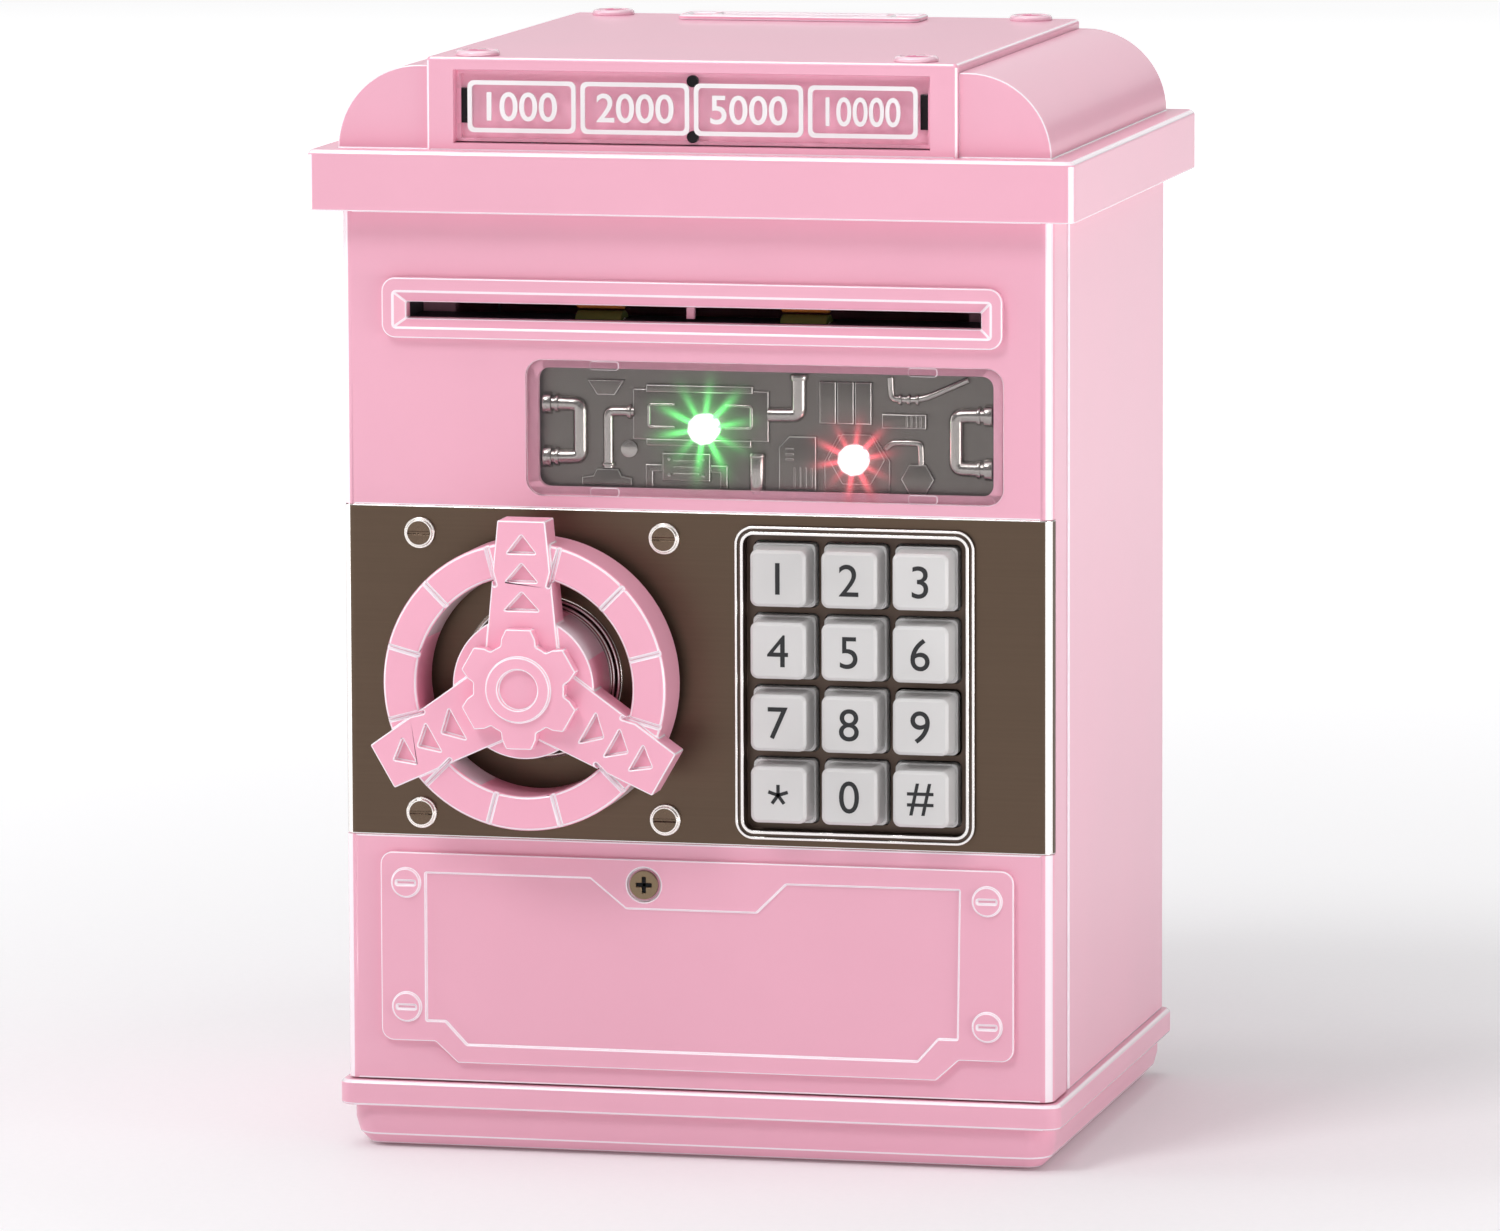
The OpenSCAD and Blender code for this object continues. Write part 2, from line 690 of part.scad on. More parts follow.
// Picture of pipes and machines in low relief
module relief_panel() {
    w = window_w - 4;
    h = window_h - 3;
    color([0.66, 0.63, 0.62]) difference() {
        union() {
            slab(3.6, 5) translate([window_x, window_z]) square([w + 0.8, h + 0.8], center = true);
            slab(2.4, 3.6) translate([window_x, window_z]) {
                difference() {
                    square([w, h], center = true);
                    square([w - 1.6, h - 1.6], center = true);
                }
                translate([-10.6, 0.6]) square([21, 7.4], center = true);
                translate([-10.6, -7]) square([9, 4], center = true);
                translate([15.6, -4.4]) circle(5.6, $fn = 6);
                translate([13.6, 6]) square([8.6, 6.4], center = true);
                translate([6.4, -4.6]) square([6, 7.6], center = true);
                translate([-28, -7.6]) square([8, 2], center = true);
                translate([24.4, -4.8]) circle(2.7, $fn = 6);
            }
            for (i = [-1, 1]) translate([window_x + i * 33.6, at(3), window_z]) rotate([90, 0, 0])
                rotate([0, 0, i > 0 ? 180 : 0]) rotate_extrude(angle = 180) translate([4.6, 0]) circle(1.3);
        }
        rod(led_g[0], led_g[1], 2.7, 1, 6);
        rod(led_r[0], led_r[1], 2.7, 1, 6);
    }
}

// Round-nosed lamp of five millimetres
module led(p) {
    translate([p[0], at(3.6), p[1]]) rotate([-90, 0, 0]) {
        cylinder(r = 2.5, h = 2.5);
        sphere(r = 2.5);
    }
}

module led_green() { color([0.5, 1, 0.5]) led(led_g); }

module led_red() { color([1, 0.5, 0.5]) led(led_r); }

module led_board() {
    color([0.1, 0.45, 0.25]) slab(6.1, 7.3) translate([window_x, window_z]) square([60, 16], center = true);
}

module front_band() {
    color([0.45, 0.38, 0.34]) difference() {
        translate([0, 0, band_z]) linear_extrude(band_h) intersection() {
            difference() {
                door_plan(0);
                door_plan(band_t);
            }
            translate([-hw - 1, at(-1)]) square([body_w + 2, 1 + band_wrap]);
        }
        slab(-1, 1) translate([keypad_x, mid_z]) rrect(3 * key_pitch + 3.2, 4 * key_pitch + 3, 2.5);
        rod(wheel_x, mid_z, shaft_r + 0.4, -1, 1);
        at_band_bolts() rod(0, 0, bolt_r * 0.42, -1, 1);
    }
}

module band_bolts() {
    color(steel) at_band_bolts() face_bolt(0, 0, 0, bolt_r, 1.1, 3.6, 0);
}

module wheel_escutcheon() {
    color(steel) translate([wheel_x, at(0), mid_z]) rotate([90, 0, 0]) rotate_extrude()
        polygon([[shaft_r + 0.4, 0], [14.2, 0], [14.2, 0.5], [13.6, 1], [12.8, 0.6],
            [12.2, 1], [11.6, 0.5], [shaft_r + 0.4, 0.5]]);
}

// ---------- keypad ----------

// Middle of a key: column 0 to 2 from the left, row 0 to 3 from the top
function key_at(col, row) = [keypad_x + (col - 1) * key_pitch, mid_z + (1.5 - row) * key_pitch];

module keypad_bezel() {
    w = 3 * key_pitch + 3.2;
    h = 4 * key_pitch + 3;
    hole = key_root_w + 0.4;
    color([0.45, 0.38, 0.34]) difference() {
        union() {
            slab(-0.8, 0) translate([keypad_x, mid_z]) rrect(w + 1.4, h + 1.4, 3.2);
            slab(-0.8, key_floor_t + 1) translate([keypad_x, mid_z]) rrect(w, h, 2.5);
        }
        slab(-1, key_floor_t) translate([keypad_x, mid_z]) rrect(w - 1.6, h - 1.6, 1.8);
        slab(-1, -0.4) translate([keypad_x, mid_z]) difference() {
            rrect(w + 0.5, h + 0.5, 2.8);
            rrect(w - 0.5, h - 0.5, 2.3);
        }
        for (c = [0 : 2], r = [0 : 3]) slab(0, key_floor_t + 2)
            translate(key_at(c, r)) rrect(hole, hole, 1);
    }
}

// One key with a stepped skirt, a flange behind the floor and a stem
module key(col, row) {
    color("white") translate([key_at(col, row)[0], 0, key_at(col, row)[1]]) {
        hull() {
            slab(-key_out, -key_out + 0.1) rrect(key_w - 1, key_w - 1, 0.9, $fn = 32);
            slab(-key_out + 0.5, -key_out + 0.6) rrect(key_w, key_w, 1.3, $fn = 32);
            slab(0.2, 0.3) rrect(key_w + 0.6, key_w + 0.6, 1.3, $fn = 32);
        }
        slab(0.3, key_flange_t) rrect(key_root_w, key_root_w, 1);
        slab(key_flange_t, key_flange_t + 0.8) rrect(key_pitch - 0.5, key_pitch - 0.5, 0.6);
        rod(0, 0, 2, key_flange_t, key_stem_t);
    }
}

module key_1() { key(0, 0); }
module key_2() { key(1, 0); }
module key_3() { key(2, 0); }
module key_4() { key(0, 1); }
module key_5() { key(1, 1); }
module key_6() { key(2, 1); }
module key_7() { key(0, 2); }
module key_8() { key(1, 2); }
module key_9() { key(2, 2); }
module key_star() { key(0, 3); }
module key_0() { key(1, 3); }
module key_hash() { key(2, 3); }

module key_membrane() {
    color([0.8, 0.8, 0.82]) slab(membrane_t, membrane_t + 0.8)
        translate([keypad_x, mid_z]) rrect(3 * key_pitch + 2, 4 * key_pitch + 2, 1.5);
}

module control_board() {
    color([0.1, 0.45, 0.25]) difference() {
        slab(membrane_t + 0.8, membrane_t + 2.2)
            translate([keypad_x, mid_z]) square([3 * key_pitch + 8, 4 * key_pitch + 5], center = true);
        for (i = [-1, 1], j = [-1, 1]) rod(keypad_x + i * (1.5 * key_pitch + 2.6),
            mid_z + j * (2 * key_pitch + 1), 1.2, membrane_t, membrane_t + 3);
    }
}

// ---------- batteries ----------

// Places of the cells: two in the lower row, one on the right of the upper row
module at_cells() {
    for (p = [[-cell_x, cell_z0], [cell_x, cell_z0], [cell_x, cell_z1]])
        translate([p[0], 0, p[1]]) children();
}

module battery_box() {
    w = bay_w + 2.6;
    h = bay_z1 - bay_z0 + 2.6;
    zc = (bay_z0 + bay_z1) / 2;
    color([0.2, 0.2, 0.22]) difference() {
        union() {
            difference() {
                slab(wall, box_t) translate([0, zc]) square([w, h], center = true);
                slab(wall - 1, box_t - 1.4) translate([0, zc]) square([bay_w, h - 2.6], center = true);
            }
            rod(cover_screw_x, cover_screw_z, 2.6, wall, box_t);
            slab(wall + 3, box_t) translate([0, zc]) square([1, h], center = true);
        }
        rod(cover_screw_x, cover_screw_z, screw_r, wall - 1, 11);
    }
}

module battery_cells() {
    color([0.2, 0.45, 0.25]) at_cells() {
        cross_rod(-cell_l / 2, cell_l / 2 - 1.2, cell_t, 0, cell_d / 2);
        cross_rod(cell_l / 2 - 1.2, cell_l / 2, cell_t, 0, 2.7);
    }
}

// A contact plate at each end of every cell
module battery_contacts() {
    color(steel) at_cells() for (i = [-1, 1])
        translate([i * (cell_l / 2 + 0.3) - 0.2, at(cell_t - 5), -5]) cube([0.4, 10, 10]);
}

// Outline of the battery cover, stepped at its lower corners
module cover_outline(m) {
    x = cover_x - m;
    z1 = cover_top_z - m;
    step_z = cover_z + 3.6 + m;
    r = 2.2;
    intersection() {
        union() {
            translate([0, (step_z + z1) / 2]) rrect(2 * x, z1 - step_z, r);
            polygon([[-x + 9.5, step_z + 0.1], [-x + 13.6, cover_z + m], [x - 13.6, cover_z + m],
                [x - 9.5, step_z + 0.1], [x - 9.5, z1 - 4], [-x + 9.5, z1 - 4]]);
        }
        square(4 * hw, center = true);
    }
}

// Outline of the sunk middle panel of the battery cover
module cover_panel() {
    x = cover_x - 8;
    z1 = cover_top_z - 3.5;
    z0 = cover_z + 7.2;
    polygon([[-x, z1], [-18.5, z1], [-12.2, z1 - 5.1], [10.8, z1 - 5.1], [16, z1], [x - 1.4, z1],
        [x - 1.8, z0], [x - 5.2, z0], [x - 8.8, z0 - 4], [-x + 7.2, z0 - 4], [-x + 3.4, z0], [-x, z0]]);
}

module battery_cover() {
    zc = (bay_z0 + bay_z1) / 2;
    color(pink) difference() {
        union() {
            slab(-1.1, 0) cover_outline(0);
            slab(0, wall - 0.2) translate([0, zc]) square([bay_w - 0.6, bay_z1 - bay_z0 - 0.6], center = true);
            for (i = [-1, 1], z = [cover_top_z - 5.3, cover_z + 9.6])
                rod(i * (cover_x - 4.6), z, 2.5, -1.7, -1.1);
        }
        slab(-2, -0.6) cover_panel();
        for (i = [-1, 1], z = [cover_top_z - 5.3, cover_z + 9.6])
            slab(-2, -1.3) translate([i * (cover_x - 4.6), z]) square([3.4, 0.8], center = true);
        slab(1, wall + 1) translate([0, zc]) square([bay_w - 4, bay_z1 - bay_z0 - 4], center = true);
        rod(cover_screw_x, cover_screw_z, screw_r + 0.1, -2, wall + 1);
        rod(cover_screw_x, cover_screw_z, 3, -2, -0.5);
    }
}

module battery_cover_screw() {
    color([0.75, 0.66, 0.42]) difference() {
        union() {
            rod(cover_screw_x, cover_screw_z, 2.5, -1.2, -0.5);
            rod(cover_screw_x, cover_screw_z, screw_r, -0.5, 10);
        }
        for (a = [0, 90]) translate([cover_screw_x, at(-1.2), cover_screw_z]) rotate([0, a, 0])
            cube([2.8, 1, 0.7], center = true);
    }
}

// ---------- note feeder ----------

module feeder_frame() {
    z0 = roller_z - 3.6;
    z1 = door_z1 - wall - 0.3;
    guide = 0.8;
    color([0.25, 0.25, 0.27]) difference() {
        union() {
            for (i = [-1, 1]) translate([i > 0 ? feed_x : -feed_x - cheek, at(wall + 0.8), z0])
                cube([cheek, cover_t - wall - 1, z1 - z0]);
            for (z = [slot_z - slot_h / 2 - guide, slot_z + slot_h / 2])
                translate([-feed_x, at(wall + 0.8), z]) cube([2 * feed_x, cover_t - wall - 1, guide]);
            translate([24, at(feed_t - motor_r - 0.3), motor_z - motor_r - 0.6])
                cube([1.2, 2 * motor_r + 0.6, 2 * motor_r + 1.2]);
            translate([24, at(feed_t - motor_r - 0.3), slot_z + slot_h / 2])
                cube([1.2, 2 * motor_r + 0.6, motor_z - motor_r - slot_z - slot_h / 2]);
        }
        for (i = [-1, 1]) {
            slot_cut(i, tyre_r + 0.4, roller_z);
            slot_cut(i, pinch_r + 0.4, pinch_z);
        }
        cross_rod(-hw, hw, feed_t, roller_z, 1.2 + run_fit);
        cross_rod(-hw, hw, feed_t, pinch_z, 1 + run_fit);
        cross_rod(20, hw, feed_t, motor_z, 1.6);
        cross_rod(feed_x - 1, hw, idler_t, idler_z, 1);
    }
}

// Room for a roller where it comes through a guide plate
module slot_cut(i, r, z) {
    cross_rod(i * 18 - 4.6, i * 18 + 4.6, feed_t, z, r);
}

// Motor on its bracket, and the fixed pin of the middle gear
module feed_motor() {
    color(steel) {
        cross_rod(25.2, feed_x, feed_t, motor_z, motor_r);
        cross_rod(24, 25.2, feed_t, motor_z, 1.6);
        cross_rod(feed_x, gear_x - 0.3, feed_t, motor_z, 1.6);
        cross_rod(feed_x + cheek / 2 + 0.1, gear_x + gear_w + 0.8, idler_t, idler_z, 1);
    }
}

module motor_pinion() {
    color([0.95, 0.95, 0.9]) side_slab(gear_x, gear_w, feed_t, motor_z) gear(pinion_n, to_idler);
}

module reduction_gear() {
    color([0.95, 0.95, 0.9]) side_slab(gear_x, gear_w, idler_t, idler_z) difference() {
        gear(idler_n, idler_turn);
        circle(1 + run_fit);
    }
}

module drive_roller() {
    color([0.95, 0.95, 0.9]) {
        side_slab(gear_x, gear_w, feed_t, roller_z) gear(roller_n, roller_turn);
        cross_rod(-feed_x - cheek - 0.8, gear_x, feed_t, roller_z, 1.2);
        for (i = [-1, 1]) cross_rod(i * 18 - 4, i * 18 + 4, feed_t, roller_z, 2.8);
    }
}

module drive_tyres() {
    color([0.35, 0.42, 0.2]) for (i = [-1, 1]) difference() {
        cross_rod(i * 18 - 4, i * 18 + 4, feed_t, roller_z, tyre_r);
        cross_rod(i * 18 - 5, i * 18 + 5, feed_t, roller_z, 2.8);
    }
}

module pinch_roller() {
    color([0.85, 0.5, 0.2]) {
        cross_rod(-feed_x - cheek + 0.2, feed_x + cheek / 2 - 0.2, feed_t, pinch_z, 1);
        for (i = [-1, 1]) cross_rod(i * 18 - 4, i * 18 + 4, feed_t, pinch_z, pinch_r);
    }
}

// ---------- hand wheel and lock ----------

// Tapered spoke pointing up, as an outline about the shaft
module spoke_outline() {
    polygon([[-6.3, 4], [-6.3, 7], [-4.2, spoke_r], [4.2, spoke_r], [6.3, 7], [6.3, 4]]);
}

module hand_wheel() {
    r_in = ring_r - ring_wide;
    c = 0.8;
    t0 = -ring_out;
    t1 = t0 + ring_deep;
    color(pink) translate([wheel_x, 0, mid_z]) difference() {
        union() {
            translate([0, at(0), 0]) rotate([90, 0, 0]) rotate_extrude($fn = 96) polygon([
                [r_in, -t1], [ring_r, -t1], [ring_r, -t0 - c], [ring_r - 0.3 * c, -t0 - 0.3 * c],
                [ring_r - c, -t0], [r_in + c, -t0], [r_in + 0.3 * c, -t0 - 0.3 * c], [r_in, -t0 - c]]);
            rod(0, 0, hub_r, t0 - 0.4, -2);
            for (a = [0, 120, 240]) slab(t0 - 1.1, t0 + 5) rotate(a) spoke_outline();
        }
        for (i = [0 : 11]) slab(t0 - 2, t0 + 0.5) rotate(15 + i * 30)
            translate([0, r_in - 1]) translate([-0.3, 0]) square([0.6, ring_wide + 2]);
        for (a = [0, 120, 240], k = [0 : 2]) slab(t0 - 2, t0 + 0.2) rotate(a)
            translate([0, 13.2 + k * 4.9]) polygon([[-3 + k * 0.25, 0], [3 - k * 0.25, 0], [0, 3.2]]);
        rod(0, 0, shaft_r, t0 - 1, 0);
    }
}

module wheel_cap() {
    t = -ring_out - 1.1;
    color(pink) translate([wheel_x, 0, mid_z]) difference() {
        union() {
            slab(t - 2.6, t) {
                circle(8);
                for (a = [0 : 60 : 300]) rotate(a) polygon([[-3.4, 4], [-3, 8.6], [-2.2, 10.3],
                    [2.2, 10.3], [3, 8.6], [3.4, 4]]);
            }
            rod(0, 0, 5.6, t - 3.4, t);
        }
        rod(0, 0, 3.5, t - 4, t - 2.4);
    }
}

module wheel_shaft() {
    color(steel) translate([wheel_x, 0, mid_z]) difference() {
        rod(0, 0, shaft_r, -ring_out - 0.9, cam_t + cam_thick);
        rod(0, 0, screw_r, cam_t - 6, cam_t + cam_thick + 1);
    }
}

module latch_cam() {
    t = cam_t + cam_thick;
    color(steel) translate([wheel_x, 0, mid_z]) difference() {
        union() {
            rod(0, 0, cam_r, cam_t, t);
            slab(cam_t, t) polygon([[-4.6, -4], [4.6, -4], [3.4, -latch_r + 1], [2.2, -latch_r],
                [-2.2, -latch_r], [-3.4, -latch_r + 1]]);
        }
        rod(0, 0, shaft_r, cam_t - 1, t + 1);
        for (a = [0, 90]) slab(cam_t - 1, t + 1) rotate(a)
            translate([cam_r - notch_deep, -notch_w / 2]) square([notch_deep + 1, notch_w]);
    }
}

module cam_screw() {
    t = cam_t + cam_thick;
    color(steel) translate([wheel_x, 0, mid_z]) difference() {
        union() {
            rod(0, 0, 4.2, t, t + 1.6);
            rod(0, 0, screw_r, cam_t - 5, t + 0.5);
        }
        for (a = [0, 90]) translate([0, at(t + 1.6), 0]) rotate([0, a, 0]) cube([3, 1.4, 0.7], center = true);
    }
}

module lock_solenoid() {
    color([0.72, 0.6, 0.4]) difference() {
        union() {
            translate([solenoid_x, at(door_d), mid_z - solenoid_h / 2])
                cube([solenoid_l, 2 * (lock_t - door_d), solenoid_h]);
            translate([solenoid_x, at(door_d), mid_z - solenoid_h / 2 - 4])
                cube([solenoid_l, 1.2, solenoid_h + 8]);
        }
        cross_rod(solenoid_x - 1, solenoid_x + solenoid_l + 1, lock_t, mid_z, plunger_r + run_fit);
    }
}

module lock_plunger() {
    color(steel) {
        cross_rod(plunger_x, plunger_x + plunger_l, lock_t, mid_z, plunger_r);
        cross_rod(plunger_x + plunger_l, plunger_x + plunger_l + 1, lock_t, mid_z, plunger_r + 1.2);
    }
}

// Return spring between the coil and the collar of the plunger
module plunger_spring() {
    x0 = solenoid_x + solenoid_l;
    gap = plunger_x + plunger_l - x0;
    wire = 0.25;
    color(steel) translate([x0 + wire + 0.05, at(lock_t), mid_z]) rotate([0, 90, 0])
        coil(plunger_r + 0.6, wire, (gap - 2 * wire - 0.1) / 4, 4);
}

base();
base_screws();
cabinet();
strike_plate();
lid_shell();
lid_screws();
crown_panel();
crown_studs();
coin_slot_frame();
banner_backing();
banner_pane();
door_shell();
hinge_pins();
door_back_cover();
back_cover_screws();
bill_slot_bezel();
window_cover();
relief_panel();
led_green();
led_red();
led_board();
front_band();
band_bolts();
wheel_escutcheon();
keypad_bezel();
key_membrane();
control_board();
key_1();
key_2();
key_3();
key_4();
key_5();
key_6();
key_7();
key_8();
key_9();
key_star();
key_0();
key_hash();
battery_box();
battery_cells();
battery_contacts();
battery_cover();
battery_cover_screw();
feeder_frame();
feed_motor();
motor_pinion();
reduction_gear();
drive_roller();
drive_tyres();
pinch_roller();
hand_wheel();
wheel_cap();
wheel_shaft();
latch_cam();
cam_screw();
lock_solenoid();
lock_plunger();
plunger_spring();
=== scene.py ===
# %% [markdown]
# # A toy safe that is a coin bank
# The real object is moulded in pink ABS plastic, like a small cash machine. A door fills its whole front
# and carries a note slot, a picture window with two lamps, a metal band with a hand wheel and a keypad,
# and a battery cover. The frame that is loaded here is the measured engineering model. It stays as it is,
# and every piece that is modelled below takes its place and size from it, in metres.

# %% Load the frame and keep its box
import json
import math

import bpy
from mathutils import Matrix, Vector

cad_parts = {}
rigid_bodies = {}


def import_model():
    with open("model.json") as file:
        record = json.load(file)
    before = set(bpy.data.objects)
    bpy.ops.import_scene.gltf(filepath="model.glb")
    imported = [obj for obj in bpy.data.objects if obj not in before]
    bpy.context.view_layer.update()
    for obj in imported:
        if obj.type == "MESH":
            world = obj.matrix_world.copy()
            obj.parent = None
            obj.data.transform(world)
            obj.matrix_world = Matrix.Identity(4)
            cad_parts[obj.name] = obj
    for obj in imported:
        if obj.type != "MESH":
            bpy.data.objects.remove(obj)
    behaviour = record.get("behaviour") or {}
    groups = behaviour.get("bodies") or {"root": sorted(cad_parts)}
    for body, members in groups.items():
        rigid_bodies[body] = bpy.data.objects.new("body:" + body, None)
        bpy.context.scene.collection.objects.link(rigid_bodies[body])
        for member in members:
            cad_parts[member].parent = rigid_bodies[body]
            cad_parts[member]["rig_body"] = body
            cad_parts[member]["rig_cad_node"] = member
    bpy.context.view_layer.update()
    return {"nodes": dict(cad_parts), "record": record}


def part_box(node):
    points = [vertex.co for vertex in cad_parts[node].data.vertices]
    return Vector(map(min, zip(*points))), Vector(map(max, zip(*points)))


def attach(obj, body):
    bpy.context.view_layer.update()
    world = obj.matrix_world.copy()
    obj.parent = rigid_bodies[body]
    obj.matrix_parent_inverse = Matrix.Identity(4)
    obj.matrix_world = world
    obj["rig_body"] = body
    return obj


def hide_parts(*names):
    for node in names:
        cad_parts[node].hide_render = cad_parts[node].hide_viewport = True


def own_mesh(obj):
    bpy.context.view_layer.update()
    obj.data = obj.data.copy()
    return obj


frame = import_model()
nodes = frame["nodes"]
MM = 0.001
body_of_node = {n: b for b, names in frame["record"]["behaviour"]["bodies"].items() for n in names}
slot_of_node = {part["node"]: part["material_slot"] for part in frame["record"]["subparts"]}

# %% [markdown]
# ## Small helpers for modelling
# An operator works on whatever is selected, and the loaded nodes start selected, so each new piece begins
# by clearing the selection. A piece takes its name as soon as it is made. Its place is then applied to
# its mesh, so every finished object sits at the origin, unturned and unscaled, as the frame's own nodes
# do.

# %% Selecting, naming and settling
def clear():
    if bpy.context.object and bpy.context.object.mode != "OBJECT":
        bpy.ops.object.mode_set(mode="OBJECT")
    bpy.ops.object.select_all(action="DESELECT")


def only(obj):
    clear()
    obj.select_set(True)
    bpy.context.view_layer.objects.active = obj
    return obj


def named(name):
    obj = bpy.context.object
    obj.name = name
    obj.data.name = name
    return obj


def settle(obj):
    only(obj)
    bpy.ops.object.transform_apply(location=True, rotation=True, scale=True)
    return obj


print("selecting helpers ready")

# %% [markdown]
# Edit mode is where a shape is worked. Edges are chosen in code, by where their two ends lie, just as a
# hand would click them. A modifier does its work on the whole piece, and it is applied at once, so that
# what is kept is plain mesh. Twins get a mesh of their own, and a cutter is thrown away once it has cut.

# %% Working on a shape
def edit(obj, kind="FACE"):
    only(obj)
    bpy.ops.object.mode_set(mode="EDIT")
    bpy.ops.mesh.select_mode(type=kind)
    bpy.ops.mesh.select_all(action="DESELECT")


def pick_edges(obj, test):
    edit(obj, "EDGE")
    bpy.ops.object.mode_set(mode="OBJECT")
    points = obj.data.vertices
    for line in obj.data.edges:
        a, b = (points[i].co for i in line.vertices)
        line.select = bool(test(a, b))
    bpy.ops.object.mode_set(mode="EDIT")


def done():
    bpy.ops.object.mode_set(mode="OBJECT")


def modify(obj, kind, **settings):
    only(obj)
    bpy.ops.object.modifier_add(type=kind)
    modifier = obj.modifiers[-1]
    for key, value in settings.items():
        setattr(modifier, key, value)
    bpy.ops.object.modifier_apply(modifier=modifier.name)
    return obj


def smooth(obj, angle=32):
    only(obj)
    bpy.ops.object.shade_smooth_by_angle(angle=math.radians(angle))
    return obj


def copy_to(obj, name, move):
    only(obj)
    bpy.ops.object.duplicate(linked=False)
    twin = named(name)
    twin.location = twin.location + Vector(move)
    return settle(twin)


def join(name, pieces):
    clear()
    for piece in pieces:
        piece.select_set(True)
    bpy.context.view_layer.objects.active = pieces[0]
    bpy.ops.object.join()
    return named(name)


def cut(obj, cutter):
    modify(obj, "BOOLEAN", operation="DIFFERENCE", solver="EXACT", object=cutter)
    bpy.data.objects.remove(cutter)
    return obj


print("shaping helpers ready")

# %% [markdown]
# A finished piece rides the same moving body as the node it belongs to, so that it swings, turns or slides
# with it, and it can be given a finish. A piece that stands for its node hides the node itself, and a
# small extra, such as a printed number, only rides along.

# %% Fastening a piece to the frame
def place(obj, node, material=None, stands_for=True):
    """Fastens a finished piece to the body of a node, with the finish that is passed, if any."""
    if material:
        obj.data.materials.clear()
        obj.data.materials.append(material)
    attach(obj, body_of_node[node])
    if stands_for:
        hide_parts(node)
    return obj


print("bodies to ride:", sorted(set(body_of_node.values()))[:4], "and more")

# %% [markdown]
# Three primitives start nearly every hard piece here: a box between two corners, a cylinder along one of
# the axes, and a plate that faces the front and has round corners. Each one is added at its size and
# place.

# %% Primitives that start a piece
def block(name, low, high):
    clear()
    low, high = Vector(low), Vector(high)
    bpy.ops.mesh.primitive_cube_add(size=1, location=(low + high) / 2)
    obj = named(name)
    obj.scale = high - low
    return settle(obj)


def drum(name, centre, radius, depth, axis="Y", sides=48):
    """A cylinder whose axis lies along X, Y or Z."""
    clear()
    turn = {"X": (0, math.pi / 2, 0), "Y": (math.pi / 2, 0, 0), "Z": (0, 0, 0)}[axis]
    bpy.ops.mesh.primitive_cylinder_add(vertices=sides, radius=radius, depth=depth, location=centre,
                                        rotation=turn)
    return settle(named(name))


def round_slab(name, low, high, radius, edge=0.0, steps=5):
    """A plate that faces the front, with round upright corners and softened front edges."""
    obj = block(name, low, high)
    y0, y1 = low[1], high[1]
    pick_edges(obj, lambda a, b: abs(a.y - b.y) > (y1 - y0) * 0.9)
    bpy.ops.mesh.bevel(offset=radius, segments=steps, affect="EDGES", clamp_overlap=True)
    done()
    if edge:
        pick_edges(obj, lambda a, b: a.y < y0 + 1e-6 and b.y < y0 + 1e-6)
        bpy.ops.mesh.bevel(offset=edge, segments=3, affect="EDGES", clamp_overlap=True)
        done()
    return obj


print("primitives ready")

# %% [markdown]
# An outer moulding starts as a twin of its measured node. The node is loose triangles, so they are merged,
# and flat neighbours are dissolved into one face. The sharp edges then get a small round from the Bevel
# modifier. Its new strips carry a second, paler material, which is a painted highlight standing for the
# light that a thin polished edge catches. The weighted normals keep the big flat faces flat to the eye. On
# a face full of holes a bevel can cross itself, so there only chosen edges are rounded.

# %% A moulding from a measured node
def paint_highlight_on_rounds(obj, narrow=0.8 * MM):
    """Long, narrow faces that lean between two directions get the second material, the painted highlight.
    """
    points = obj.data.vertices
    for face in obj.data.polygons:
        lean = sorted(abs(value) for value in face.normal)
        ring = [points[i].co for i in face.vertices]
        longest = max((ring[i] - ring[i - 1]).length for i in range(len(ring)))
        if longest > 5 * MM and lean[1] > 0.45 * lean[2] and face.area < narrow * longest:
            face.material_index = 1


def twin_of(node, name, *finishes):
    """A new piece with a node's shape, free of the node's own body and finish."""
    only(nodes[node])
    bpy.ops.object.duplicate(linked=False)
    obj = named(name)
    obj.data.materials.clear()
    for finish in finishes:
        obj.data.materials.append(finish)
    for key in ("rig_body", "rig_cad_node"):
        if key in obj:
            del obj[key]
    bpy.ops.object.parent_clear(type="CLEAR_KEEP_TRANSFORM")
    return obj


def softened(node, name, width, finish, edge_highlight_finish=None, clamp=True, where=None):
    """A new moulding from a node's shape, merged, cleaned of its triangles and given round edges."""
    steps, sharp = 3, math.radians(28)
    obj = twin_of(node, name, *(f for f in (finish, edge_highlight_finish) if f))
    edit(obj)
    bpy.ops.mesh.select_all(action="SELECT")
    bpy.ops.mesh.remove_doubles(threshold=2e-6)
    bpy.ops.mesh.dissolve_limited(angle_limit=math.radians(0.6))
    done()
    if where:
        pick_edges(obj, where)
        bpy.ops.mesh.bevel(offset=width, segments=steps, affect="EDGES", clamp_overlap=False,
                           loop_slide=False, material=1)
        done()
    else:
        modify(obj, "BEVEL", width=width, segments=steps, limit_method="ANGLE", angle_limit=sharp,
               use_clamp_overlap=clamp, loop_slide=False, miter_outer="MITER_ARC",
               material=1 if edge_highlight_finish else -1)
    edit(obj)
    bpy.ops.mesh.select_all(action="SELECT")
    bpy.ops.mesh.dissolve_degenerate(threshold=2e-5)
    done()
    # Bevel strips and narrow rounds carry the painted edge highlight, when one is given.
    if edge_highlight_finish:
        paint_highlight_on_rounds(obj)
    return modify(smooth(obj, 35), "WEIGHTED_NORMAL", keep_sharp=True)


print("moulding helper ready")

# %% [markdown]
# ## Shader maths as plain expressions
# A material is a small program. The class below wraps one output of a node and lets Python's own
# operators add the Math nodes, so `0.3 + 0.1 * grain` reads like a formula. The reflected forms let a
# plain number come first, as in `1 - mask`.

